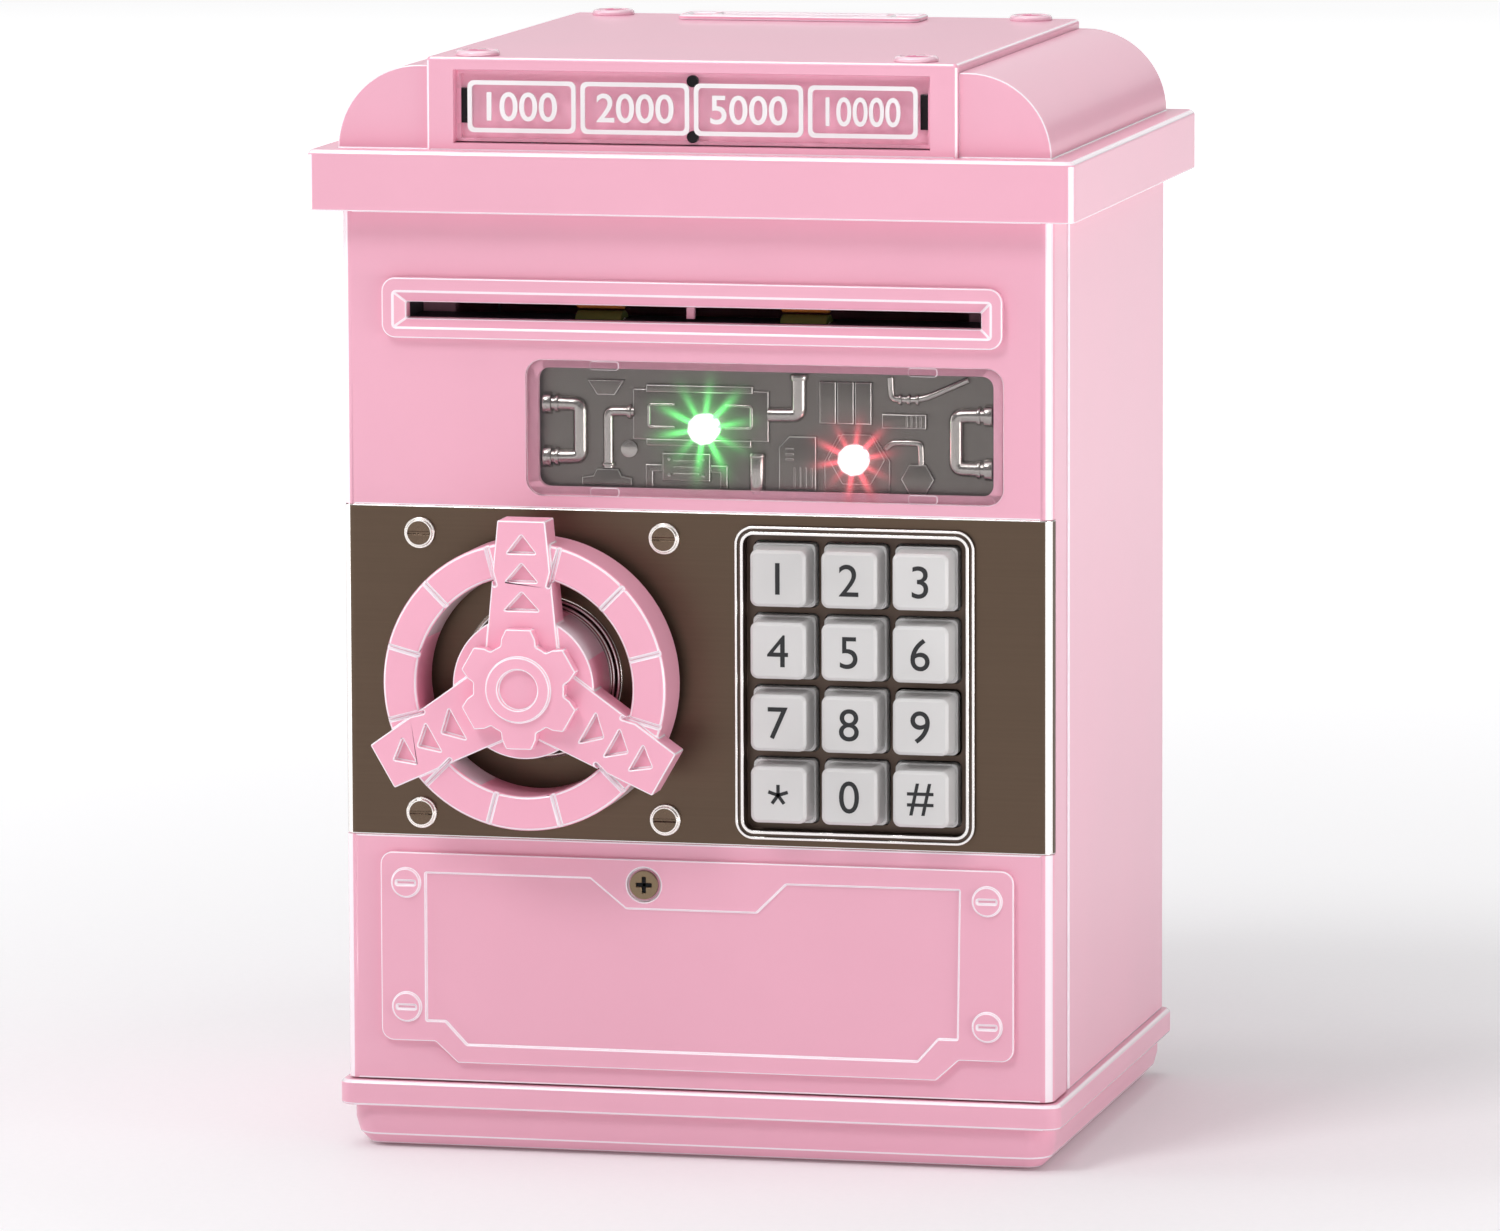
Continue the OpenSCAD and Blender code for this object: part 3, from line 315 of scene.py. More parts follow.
# %% A wire that does sums
class Wire:
    def __init__(self, shader, socket):
        self.shader = shader
        self.socket = socket

    def maths(self, operation, *values):
        return self.shader.node("ShaderNodeMath", {"operation": operation}, *values)

    def __add__(self, other):
        return self.maths("ADD", self, other)

    def __radd__(self, other):
        return self.maths("ADD", other, self)

    def __sub__(self, other):
        return self.maths("SUBTRACT", self, other)

    def __rsub__(self, other):
        return self.maths("SUBTRACT", other, self)

    def __mul__(self, other):
        return self.maths("MULTIPLY", self, other)

    def __rmul__(self, other):
        return self.maths("MULTIPLY", other, self)

    def __truediv__(self, other):
        return self.maths("DIVIDE", self, other)

    def less(self, other):
        return self.maths("LESS_THAN", self, other)

    def more(self, other):
        return self.maths("GREATER_THAN", self, other)

    def size(self):
        return self.maths("ABSOLUTE", self)

    def out(self, name):
        return Wire(self.shader, self.socket.node.outputs[name])


print("wires ready")

# %% [markdown]
# A shader starts from Blender's Principled surface. Constants go straight onto its sockets. Every other
# node comes from one method, which sets the node's choices first and then its sockets. What changes over
# a surface is noise on the Object coordinates, which are metres from the frame's own origin here, so
# scales are large.

# %% A shader that makes nodes
class Shader:
    def __init__(self, name, **constants):
        self.material = bpy.data.materials.new(name)
        self.material.use_nodes = True
        self.tree = self.material.node_tree
        self.surface = self.tree.nodes["Principled BSDF"]
        for key, value in constants.items():
            self.surface.inputs[key.replace("_", " ")].default_value = value
        self.place = self.node("ShaderNodeTexCoord").out("Object")

    def node(self, kind, settings=None, *values, **named_values):
        made = self.tree.nodes.new(kind)
        for key, value in (settings or {}).items():
            setattr(made, key, value)
        sockets = list(zip(made.inputs, values))
        sockets += [(made.inputs[key.replace("_", " ")], value) for key, value in named_values.items()]
        for socket, value in sockets:
            if isinstance(value, Wire):
                self.tree.links.new(value.socket, socket)
            else:
                socket.default_value = value
        return Wire(self, made.outputs[0])

    def noise(self, scale, detail=2.0, place=None):
        place = place or self.place
        return self.node("ShaderNodeTexNoise", None, Vector=place, Scale=scale, Detail=detail)

    def mix(self, factor, first, second):
        made = self.node("ShaderNodeMix", {"data_type": "RGBA"})
        inputs = made.socket.node.inputs
        for socket, value in ((inputs[0], factor), (inputs[6], first), (inputs[7], second)):
            if isinstance(value, Wire):
                self.tree.links.new(value.socket, socket)
            else:
                socket.default_value = value
        return Wire(self, made.socket.node.outputs[2])

    def stretch(self, scale):
        return self.node("ShaderNodeMapping", None, Vector=self.place, Scale=scale)

    def root(self, value):
        return value.maths("SQRT", value)

    def bump(self, height, strength, distance):
        return self.node("ShaderNodeBump", None, Height=height, Strength=strength, Distance=distance)

    def wear(self, **wires):
        for key, wire in wires.items():
            self.tree.links.new(wire.socket, self.surface.inputs[key.replace("_", " ")])
        return self.material


def shade(colour, factor):
    return tuple(min(channel * factor, 1.0) for channel in colour[:3]) + (1.0,)


print("shader class ready")

# %% [markdown]
# ## The finishes
# Moulded ABS isn't one flat pink. It has a faint cloudiness where the melt flowed, and a very fine skin
# like orange peel that breaks up its reflections. Both come from noise on the object's own coordinates, a
# few percent strong. The clear coat stands for the polished skin of the mould, over a softer body.

# %% Pink mouldings
PINK = (0.865, 0.425, 0.55, 1.0)
WHEEL_PINK = (0.93, 0.43, 0.57, 1.0)
DEEP_PINK = (1.0, 0.47, 0.62, 1.0)
# A near white pink, painted on rounded edges as a highlight.
PAINTED_HIGHLIGHT_PINK = (1.0, 0.88, 0.94, 1.0)


def moulded(name, colour, rough=0.34, coat=0.25, cloud=0.05, peel=0.06):
    s = Shader(name, Coat_Weight=coat, Coat_Roughness=0.12, IOR=1.5)
    flow = s.noise(28.0, 3.0)
    skin = s.noise(2600.0, 2.0)
    tint = s.mix(flow, shade(colour, 1 - cloud), shade(colour, 1 + cloud))
    return s.wear(Base_Color=tint, Roughness=rough - 0.04 + 0.08 * flow,
                  Normal=s.bump(skin, peel, 0.00002))


pink = moulded("pink_abs", PINK)
pink_inside = moulded("pink_abs_inside", shade(PINK, 0.92), rough=0.5, coat=0.0, peel=0.15)
painted_edge_highlight = moulded("painted_highlight_rounded_edge", PAINTED_HIGHLIGHT_PINK, rough=0.22, coat=0.6, cloud=0.02)
wheel_pink = moulded("wheel_pink_abs", WHEEL_PINK, rough=0.3, coat=0.35)
deep_pink = moulded("window_floor_pink", DEEP_PINK, rough=0.4)
print("pink finishes made")

# %% [markdown]
# The band is thin sheet with a warm brown metallic lacquer, brushed along its length. Stretching the
# noise makes the brushing: it is squeezed hard along Z and left long along X. The bolts are plated, and
# steel that is zinc plated has the patchy crystals that zinc leaves.

# %% Metals
BAND = (0.14, 0.097, 0.069, 1.0)


def brushed(name, colour, rough, along=(30.0, 30.0, 2400.0), depth=0.12):
    s = Shader(name, Metallic=1.0, Coat_Weight=0.0)
    hair = s.noise(1.0, 3.0, s.stretch(along))
    patch = s.noise(18.0, 2.0)
    tint = s.mix(hair, shade(colour, 0.93), shade(colour, 1.07))
    return s.wear(Base_Color=tint, Roughness=rough - 0.05 + 0.07 * hair + 0.05 * patch,
                  Normal=s.bump(hair, depth, 0.00002))


def plated(name, colour, rough=0.14, grain=900.0):
    s = Shader(name, Metallic=1.0)
    grit = s.noise(grain, 3.0)
    patch = s.noise(120.0, 2.0)
    tint = s.mix(patch, shade(colour, 0.9), shade(colour, 1.06))
    return s.wear(Base_Color=tint, Roughness=rough + 0.12 * patch, Normal=s.bump(grit, 0.05, 0.00002))


band_metal = brushed("band_lacquer", BAND, 0.4, depth=0.05)
bolt_metal = plated("plated_bolts", (0.62, 0.53, 0.48, 1.0), 0.2)
# A pale plated finish, painted as a highlight on the edges of dark metal parts and on the keypad frame's
# front.
painted_metal_highlight = plated("painted_metal_edge_highlight", (0.9, 0.87, 0.85, 1.0), 0.16)
chrome = plated("plated_ring", (0.16, 0.12, 0.10, 1.0), 0.16)
zinc = plated("zinc_steel", (0.68, 0.68, 0.7, 1.0), 0.28, 1400.0)
brass = plated("brass_screw_finish", (0.62, 0.5, 0.3, 1.0), 0.26)
print("metal finishes made")

# %% [markdown]
# The rest are finishes of small or inner parts. The relief is sprayed silver with a fine fleck. Plain
# plastics and rubbers share one recipe with a grain of their own, a circuit board gets its copper tracks
# from square cells, and a coil gets its turns from a wave.

# %% Relief picture, boards, cells and other inner finishes
def sprayed(name, colour, metal=0.75, rough=0.36):
    s = Shader(name, Metallic=metal)
    fleck = s.noise(5200.0, 2.0)
    cloud = s.noise(60.0, 2.0)
    tint = s.mix(fleck, shade(colour, 0.84), shade(colour, 1.18))
    return s.wear(Base_Color=tint, Roughness=rough + 0.08 * cloud, Normal=s.bump(fleck, 0.12, 0.00002))


def rough_plastic(name, colour, rough=0.55, scale=1500.0, depth=0.3):
    s = Shader(name)
    grain = s.noise(scale, 3.0)
    cloud = s.noise(45.0, 2.0)
    tint = s.mix(cloud, shade(colour, 0.85), shade(colour, 1.15))
    return s.wear(Base_Color=tint, Roughness=rough + 0.1 * grain, Normal=s.bump(grain, depth, 0.00004))


def circuit(name):
    s = Shader(name, Coat_Weight=0.4, Coat_Roughness=0.2)
    lines = s.node("ShaderNodeTexVoronoi", {"distance": "CHEBYCHEV"}, Vector=s.place, Scale=420.0)
    track = lines.out("Distance").more(0.52)
    tint = s.mix(track, (0.012, 0.14, 0.05, 1.0), (0.03, 0.26, 0.1, 1.0))
    return s.wear(Base_Color=tint, Roughness=0.45 - 0.12 * track)


def winding(name):
    s = Shader(name, Metallic=0.6)
    turns = s.node("ShaderNodeTexWave", {"bands_direction": "X"}, Vector=s.place, Scale=420.0,
                   Distortion=0.4)
    tint = s.mix(turns, (0.3, 0.12, 0.04, 1.0), (0.72, 0.36, 0.14, 1.0))
    return s.wear(Base_Color=tint, Roughness=0.5 - 0.2 * turns, Normal=s.bump(turns, 0.6, 0.0001))


silver = sprayed("relief_silver_spray", (0.18, 0.165, 0.15, 1.0), 0.95, 0.36)
# A brighter silver, painted on the relief plates' softened edges as a highlight.
silver_painted_highlight = sprayed("relief_silver_highlight_paint", (0.62, 0.59, 0.57, 1.0), 0.95, 0.26)
silver_pipe = sprayed("relief_pipe_silver", (0.42, 0.39, 0.37, 1.0), 1.0, 0.2)
frame_metal = plated("keypad_frame_lacquer", (0.11, 0.08, 0.065, 1.0), 0.3)
dark_plastic = rough_plastic("dark_moulding", (0.035, 0.035, 0.04, 1.0))
# A near black, painted into holes and slots as the shade inside them.
painted_shade_black = rough_plastic("painted_slot_shade", (0.006, 0.006, 0.008, 1.0), 0.8)
olive_rubber = rough_plastic("olive_rubber", (0.14, 0.17, 0.04, 1.0), 0.65, 2200.0, 0.5)
orange_plastic = rough_plastic("orange_roller_plastic", (0.62, 0.2, 0.04, 1.0), 0.45)
nylon = rough_plastic("gear_nylon_finish", (0.75, 0.74, 0.68, 1.0), 0.42, 900.0, 0.15)
silicone = rough_plastic("silicone_sheet", (0.5, 0.5, 0.52, 1.0), 0.6, 1200.0, 0.2)
jacket = rough_plastic("cell_jacket_film", (0.05, 0.22, 0.1, 1.0), 0.25, 300.0, 0.05)
board = circuit("circuit_board")
coil = winding("copper_winding")
print("inner finishes made")

# %% [markdown]
# ## Camera, floor and soft light
# A small object looks right through a long lens from well away, because its sides stay nearly parallel.
# The camera is built from the three directions that it needs: back, right and up. A small roll is added
# to the last two, since no tripod stands quite level.

# %% Camera, from two angles and a small roll
AROUND, ABOVE, ROLL = math.radians(13.167), math.radians(7.537), math.radians(-0.204)
EYE = Vector((0.4049, -1.7402, 0.3246))
LENS = 246.1

back = Vector((math.sin(AROUND) * math.cos(ABOVE), -math.cos(AROUND) * math.cos(ABOVE), math.sin(ABOVE)))
right = Vector((math.cos(AROUND), math.sin(AROUND), 0))
up = back.cross(right)
right, up = (right * math.cos(ROLL) + up * math.sin(ROLL), up * math.cos(ROLL) - right * math.sin(ROLL))

clear()
bpy.ops.object.camera_add()
camera = named("camera")
camera.data.lens = LENS
camera.data.sensor_width = 36
camera.data.clip_end = 60
camera.rotation_mode = "QUATERNION"
camera.location = EYE
camera.rotation_quaternion = Matrix((right, up, back)).transposed().to_quaternion()
bpy.context.scene.camera = camera
bpy.context.scene.view_settings.view_transform = "Standard"
print("camera at", tuple(round(value, 3) for value in EYE))

# %% [markdown]
# The floor is one huge sheet of white paper. It glows softly away from the object, so that it stays as
# pale as the world behind it, and the glow fades close to the object, where a soft shadow has to show.

# %% Paper floor
def paper():
    s = Shader("white_paper", Specular_IOR_Level=0.2, Emission_Strength=0.7)
    fibre = s.noise(700.0, 3.0)
    split = s.node("ShaderNodeSeparateXYZ", None, s.place)
    x, y = split.out("X"), split.out("Y")
    far = s.node("ShaderNodeMapRange", {"clamp": True}, s.root(x * x + y * y), 0.14, 1.0, 0.0, 1.0)
    tint = s.mix(fibre, (0.80, 0.80, 0.81, 1.0), (0.84, 0.84, 0.85, 1.0))
    glow = s.mix(far, (0.12, 0.12, 0.12, 1.0), (1, 1, 1, 1))
    return s.wear(Base_Color=tint, Emission_Color=glow, Roughness=0.6 + 0.2 * fibre,
                  Normal=s.bump(fibre, 0.05, 0.0002))


clear()
bpy.ops.mesh.primitive_circle_add(vertices=96, radius=14.0, fill_type="NGON", location=(0, 3.0, 0))
floor = settle(named("floor"))
floor.data.materials.append(paper())
print("floor laid")

# %% [markdown]
# The light is a product photographer's. A broad box hangs overhead, and a small one stands high in front
# on the left and lights the door. A low box on the right fills the foot of the side wall, a strip on the
# left draws the bright line along that edge, and a wide box behind lights the back. A pale world fills
# the shadows.

# %% Five soft boxes and a pale world
def soft_box(name, spot, aim, width, height, power, colour=(1, 1, 1)):
    clear()
    bpy.ops.object.light_add(type="AREA", location=spot)
    lamp = named(name)
    lamp.data.shape = "RECTANGLE"
    lamp.data.size, lamp.data.size_y = width, height
    lamp.data.energy = power
    lamp.data.color = colour
    lamp.rotation_euler = (Vector(aim) - Vector(spot)).to_track_quat("-Z", "Y").to_euler()
    return lamp


MIDDLE = (0, 0, 0.1)
WORLD_STRENGTH = 0.29
soft_box("top_box", (-0.1, -0.1, 1.25), MIDDLE, 1.3, 1.1, 7.5, (1, 0.99, 1))
soft_box("front_box", (-0.6, -1.15, 1.45), MIDDLE, 0.55, 0.5, 10.8)
soft_box("right_strip", (0.62, -0.24, 0.03), (0, 0, 0.04), 0.3, 0.3, 1.9, (1, 0.97, 0.96))
soft_box("left_strip", (-1.0, -0.2, 0.4), MIDDLE, 0.25, 1.0, 2.6)
soft_box("back_box", (-0.3, 2.4, 0.9), (0, 0, 0.2), 3.0, 1.0, 6.0)
clear()
world = bpy.data.worlds.new("pale_room")
world.use_nodes = True
world.node_tree.nodes["Background"].inputs["Color"].default_value = (1, 1, 1, 1)
world.node_tree.nodes["Background"].inputs["Strength"].default_value = WORLD_STRENGTH
bpy.context.scene.world = world
print("stage lit")

# %% [markdown]
# ## Dressing the measured frame
# Every node of the frame gets the finish of its own material, so nothing is left plain. Most of them are
# inner works, seen when the door swings open. The outer mouldings are then modelled again on top.

# %% A finish for every node, by its material slot
FINISH = {
    "pink_shell": pink, "pink_wheel": wheel_pink, "banner_floor": deep_pink, "printed_clear": silicone,
    "clear_cover": silicone, "relief_silver": silver, "green_lamp": silicone, "red_lamp": silicone,
    "band_metal": band_metal, "plated": bolt_metal, "key_white": silicone, "membrane_rubber": silicone,
    "board_green": board, "dark_plastic": dark_plastic, "cell_jacket": jacket, "zinc_steel": zinc,
    "brass_screw": brass, "coil_wrap": coil, "gear_nylon": nylon, "tyre_rubber": olive_rubber,
    "orange_roller": orange_plastic,
}
for name, node in nodes.items():
    finish = FINISH[slot_of_node[name]]
    if not node.material_slots:
        node.data.materials.append(finish)
    for holder in node.material_slots:
        holder.material = finish
for name in ("door_back_cover", "battery_box"):
    nodes[name].material_slots[0].material = pink_inside
print("finishes on", len(nodes), "nodes")

# %% [markdown]
# ## The outer mouldings
# No real moulding has a knife edge. A tool with a rounded corner makes each one, and that small round is
# what catches the light and draws the object. Most shells get every sharp edge rounded, and the rounds
# carry a paler finish that is a painted highlight. The door and the crown are full of holes, so only their
# front outline is rounded, and on the door the two edges beside the metal band. The dark keypad frame
# keeps a thin round, and only the faces at its very front are painted as bright metal, as a highlight.

# %% Shells with rounded edges
SHELLS = (
    # node, piece, edge round in mm, finish, painted highlight finish of its edges
    ("base", "base_moulding", 0.2, pink, painted_edge_highlight),
    ("cabinet", "cabinet_shell", 0.4, pink, painted_edge_highlight),
    ("lid_shell", "lid_moulding", 0.22, pink, painted_edge_highlight),
    ("crown_panel", "crown_moulding", 0.25, pink, painted_edge_highlight),
    ("coin_slot_frame", "coin_slot_surround", 0.3, wheel_pink, painted_edge_highlight),
    ("door_shell", "door_moulding", 0.25, pink, painted_edge_highlight),
    ("bill_slot_bezel", "note_slot_surround", 0.25, pink, painted_edge_highlight),
    ("battery_cover", "battery_lid", 0.22, pink, painted_edge_highlight),
    ("keypad_bezel", "keypad_frame", 0.1, frame_metal, painted_metal_highlight),
    ("hand_wheel", "three_spoke_wheel", 0.25, wheel_pink, painted_edge_highlight),
    ("wheel_cap", "toothed_wheel_cap", 0.22, wheel_pink, painted_edge_highlight),
    ("front_band", "metal_band", 0.3, band_metal, painted_metal_highlight),
    ("wheel_escutcheon", "wheel_ring_plate", 0.2, chrome, painted_metal_highlight),
)
BAND_GAP = 0.25 * MM
NEAR = 0.3 * MM
FRONT_DEEP = 0.1 * MM
SHORTEST = 3 * MM
band_low, band_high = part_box("front_band")


def front_outline(node):
    """A test for the long front edges at a node's own outline, and on the door beside its band."""
    low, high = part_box(node)
    lines = [(0, low[0]), (0, high[0]), (2, low[2]), (2, high[2])]
    if node == "door_shell":
        lines += [(2, band_low[2] - BAND_GAP), (2, band_high[2] + BAND_GAP)]

    def shows(a, b):
        near = any(abs(a[i] - line) < NEAR and abs(b[i] - line) < NEAR for i, line in lines)
        return near and max(a.y, b.y) < low[1] + FRONT_DEEP and (a - b).length > SHORTEST

    return shows


for node, name, width, finish, edge_highlight_finish in SHELLS:
    where = front_outline(node) if node in ("door_shell", "crown_panel") else None
    shell = place(softened(node, name, width * MM, finish, edge_highlight_finish, clamp=False, where=where), node)
    # The keypad frame's very front faces get the painted metal highlight.
    if node == "keypad_bezel":
        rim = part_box(node)[0][1] + 0.15 * MM
        for face in shell.data.polygons:
            face.material_index = int(face.center.y < rim)
    print(name, len(shell.data.polygons), "faces")

# %% [markdown]
# ## Clear plastic and lamps
# Clear parts are mostly their reflections, so the material is nearly transparent and very smooth. Each
# lamp is a moulded dome of coloured epoxy round a chip. The chip is so bright that its middle looks white.
# In front of each lamp, a coloured star and a white core are painted as glow on the clear cover, which is
# no lamp itself. Both are drawn with the distance from the lamp's axis, which the Object coordinates give.

# %% Distance from a lamp's axis, and the painted star round it
GREEN, RED = (0.05, 1.0, 0.12, 1.0), (1.0, 0.03, 0.06, 1.0)


def middle(node):
    low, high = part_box(node)
    return tuple((a + b) / 2 for a, b in zip(low, high))


def from_axis(s, x, z):
    """The distance of a point from a line along Y, and its direction round that line."""
    split = s.node("ShaderNodeSeparateXYZ", None, s.place)
    dx, dz = split.out("X") - x, split.out("Z") - z
    return s.root(dx * dx + dz * dz), dz.maths("ARCTAN2", dz, dx)


# The star and the white core are painted glow, laid on the clear window cover.
def painted_lamp_star(s, node, reach, rays):
    x, _, z = middle(node)
    far, turn = from_axis(s, x, z)
    near = far.maths("MAXIMUM", 1 - far / reach, 0.0)
    spokes = turn.maths("SINE", turn * rays + 0.7).size()
    few = turn.maths("SINE", turn * 1.5 + 0.4).size()
    star = 0.3 + spokes.maths("POWER", spokes, 5.0) * (0.35 + 0.9 * few)
    core = s.node("ShaderNodeMapRange", {"clamp": True}, far, 0.0021, 0.0028, 1.0, 0.0)
    return near * near * star, core


print("green lamp at", middle("led_green"))

# %% [markdown]
# The window has the lamps' stars painted on its own surface as glow, and only there is it less clear. The
# banner's plate has no lamps, so it doesn't glow at all. The domes glow by themselves, from white in the
# middle to a colour.

# %% Clear covers, the painted lamp stars, glowing domes and inks
GREEN_REACH, RED_REACH, RAYS = 0.0125, 0.0105, 5.0


def clear_plastic(name, colour, alpha, lamps=False):
    s = Shader(name, IOR=1.49, Emission_Strength=2.6 if lamps else 0.0)
    haze = s.noise(40.0, 2.0)
    tint = s.mix(haze, shade(colour, 0.96), shade(colour, 1.04))
    wires = {"Base_Color": tint, "Roughness": 0.05 + 0.05 * haze}
    seen = alpha + 0.03 * haze
    # The window is no lamp, yet here it glows with the lamps' painted stars and white cores.
    if lamps:
        green, green_core = painted_lamp_star(s, "led_green", GREEN_REACH, RAYS)
        red, red_core = painted_lamp_star(s, "led_red", RED_REACH, RAYS)
        core = green_core + red_core
        painted_star_colour = s.mix(green, s.mix(red, (0, 0, 0, 1), RED), GREEN)
        wires["Emission_Color"] = s.mix(core, painted_star_colour, (1, 1, 1, 1))
        seen = seen + 0.8 * green + 0.8 * red + 0.9 * core
    return s.wear(Alpha=seen, **wires)


def lamp_epoxy(name, node, colour):
    s = Shader(name, Emission_Strength=7.0, Coat_Weight=0.5, Coat_Roughness=0.05)
    x, _, z = middle(node)
    far, _ = from_axis(s, x, z)
    white = s.node("ShaderNodeMapRange", {"clamp": True}, far, 0.0011, 0.0026, 1.0, 0.0)
    tint = s.mix(white, colour, (1, 1, 1, 1))
    return s.wear(Base_Color=tint, Emission_Color=tint, Roughness=0.15 + 0.1 * white)


window_clear_painted_star = clear_plastic("window_clear_painted_star", (0.25, 0.22, 0.23, 1.0), 0.06, lamps=True)
banner_clear = clear_plastic("banner_clear", (0.95, 0.8, 0.86, 1.0), 0.04)
green_epoxy = lamp_epoxy("green_epoxy", "led_green", GREEN)
red_epoxy = lamp_epoxy("red_epoxy", "led_red", RED)
white_ink = rough_plastic("white_ink", (0.9, 0.86, 0.87, 1.0), 0.4, 2500.0, 0.1)
key_ink = rough_plastic("key_ink", (0.012, 0.012, 0.014, 1.0), 0.35, 2500.0, 0.1)
key_white = rough_plastic("key_white_silicone", (0.66, 0.65, 0.645, 1.0), 0.3, 1800.0, 0.06)
keypad_floor = sprayed("keypad_floor_taupe", (0.2, 0.16, 0.14, 1.0), 0.6, 0.45)
dull_brass = plated("dull_brass", (0.26, 0.19, 0.12, 1.0), 0.3)
print("clear, lamp and key finishes made")

# %% [markdown]
# ## Lettering
# A number is a text object turned to face the front. It is made a mesh first and moved to its place
# afterwards, so that the finished object sits at the origin like the others.

# %% Text made into mesh
def lettering(name, words, size, centre, thick=0.12 * MM, bold=0.0, squeeze=1.0):
    clear()
    bpy.ops.object.text_add(rotation=(math.pi / 2, 0, 0))
    obj = bpy.context.object
    text = obj.data
    text.body, text.size, text.extrude, text.offset = words, size, thick, bold
    text.align_x, text.align_y = "CENTER", "CENTER"
    text.resolution_u = 6
    bpy.ops.object.convert(target="MESH")
    obj = named(name)
    obj.scale.x = squeeze
    settle(obj)
    low = Vector([min(corner[i] for corner in obj.bound_box) for i in range(3)])
    high = Vector([max(corner[i] for corner in obj.bound_box) for i in range(3)])
    obj.location = Vector(centre) - (low + high) / 2
    return settle(obj)


print("lettering ready")

# %% [markdown]
# ## The banner in the crown
# A pink tray lies behind a clear plate. The tray is a block with its front hollowed out, which leaves a
# thin lip above and below and a wider one at each end.

# %% Banner tray and plate
END_LIP, LONG_LIP, TRAY_DEEP = 2.8 * MM, 0.6 * MM, 1.4 * MM

low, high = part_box("banner_backing")
tray = block("banner_tray", low, high)
tray = cut(tray, block("hollow", (low[0] + END_LIP, low[1] - MM, low[2] + LONG_LIP),
                       (high[0] - END_LIP, low[1] + TRAY_DEEP, high[2] - LONG_LIP)))
place(tray, "banner_backing", deep_pink)
place(softened("banner_pane", "banner_plate", 0.08 * MM, banner_clear), "banner_pane")
pane_x, _, pane_z = middle("banner_pane")
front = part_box("banner_pane")[0][1]
print("banner plate at", round(front / MM, 2), "mm")

# %% [markdown]
# The plate carries four white frames with bold numbers. A frame is a rounded plate with a smaller one cut
# out, and the longest number is drawn narrower, so that it fits the same frame.

# %% Four framed numbers
PITCH = 19.85 * MM
HALF_W, HALF_H, LINE = 9.5 * MM, 4.45 * MM, 0.75 * MM
PROUD, SUNK = 0.12 * MM, 0.3 * MM

frames = []
for index, number in enumerate(("1000", "2000", "5000", "10000")):
    x = pane_x + (index - 1.5) * PITCH
    rim = round_slab("banner_frame", (x - HALF_W, front - PROUD, pane_z - HALF_H),
                     (x + HALF_W, front + SUNK, pane_z + HALF_H), 1.1 * MM)
    hole = round_slab("hole", (x - HALF_W + LINE, front - MM, pane_z - HALF_H + LINE),
                      (x + HALF_W - LINE, front + MM, pane_z + HALF_H - LINE), 0.7 * MM)
    frames.append(cut(rim, hole))
    narrow = 0.82 if len(number) == 5 else 1.0
    digits = lettering("banner_number_" + number, number, 6.9 * MM, (x, front + 0.2 * MM, pane_z),
                       0.18 * MM, 0.07 * MM, narrow)
    place(digits, "banner_pane", white_ink, False)
place(smooth(join("banner_frames", frames)), "banner_pane", white_ink, False)
print("banner made", len(frames), "frames")

# %% [markdown]
# Two small holes at the middle take the moulding's pins, one at the frames' upper edge and one at their
# lower edge, and a short upright slot lies at each end of the plate. Their shade is painted: a black disc
# sits in each hole and a black bar behind each slot.

# %% Painted shade in the pin holes and end slots of the plate
HOLE_Z, HOLE_R = 4.75 * MM, 1.03 * MM
SLOT_X, SLOT_HALF_W, SLOT_HALF_H = 40.4 * MM, 1.05 * MM, 3 * MM

dots = [drum("pin_hole", (pane_x, front + MM, pane_z + side * HOLE_Z), HOLE_R, 0.9 * MM, sides=24)
        for side in (-1, 1)]
ends = []
for side in (-1, 1):
    x = pane_x + side * SLOT_X
    ends.append(block("end_slot", (x - SLOT_HALF_W, front + 1.6 * MM, pane_z - SLOT_HALF_H),
                      (x + SLOT_HALF_W, front + 2.4 * MM, pane_z + SLOT_HALF_H)))
hole_shade = modify(join("banner_hole_shade", dots + ends), "BEVEL", width=0.12 * MM, segments=2)
place(hole_shade, "banner_pane", painted_shade_black, False)
print("holes of the plate:", len(dots + ends))

# %% [markdown]
# ## Keypad
# The keys are white silicone rubber, each moulded with a thin skirt. One is rounded with care and copied
# to the others by the distance between their boxes. The numbers are printed, so they stand a few
# hundredths proud. The star is made of five arms.

# %% Twelve keys with their numbers
def star(centre):
    """Five bold arms, each turned a fifth of a circle further."""
    arms = []
    for k in range(5):
        arm = block("arm", (-0.3 * MM, -0.03 * MM, 0), (0.3 * MM, 0.03 * MM, 1.8 * MM))
        arm.rotation_euler.y = math.radians(72 * k)
        arm.location = centre
        arms.append(settle(arm))
    return join("key_star_print", arms)


KEY_PRINT, INK_THICK, INK_BOLD = 7.9 * MM, 0.03 * MM, 0.01 * MM
KEYS = {"key_1": "1", "key_2": "2", "key_3": "3", "key_4": "4", "key_5": "5", "key_6": "6", "key_7": "7",
        "key_8": "8", "key_9": "9", "key_star": "*", "key_0": "0", "key_hash": "#"}
model_key = softened("key_5", "key_cap_shape", 0.22 * MM, key_white)
home = Vector(middle("key_5"))
for node, sign in KEYS.items():
    here = Vector(middle(node))
    cap = copy_to(model_key, node + "_cap", here - home)
    place(smooth(cap, 40), node)
    face = Vector((here.x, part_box(node)[0][1], here.z))
    if sign == "*":
        made = star(face)
    else:
        made = lettering(node + "_print", sign, KEY_PRINT, face, INK_THICK, INK_BOLD)
    place(made, node, key_ink, False)
bpy.data.objects.remove(model_key)
nodes["key_membrane"].material_slots[0].material = keypad_floor
print(len(KEYS), "keys")

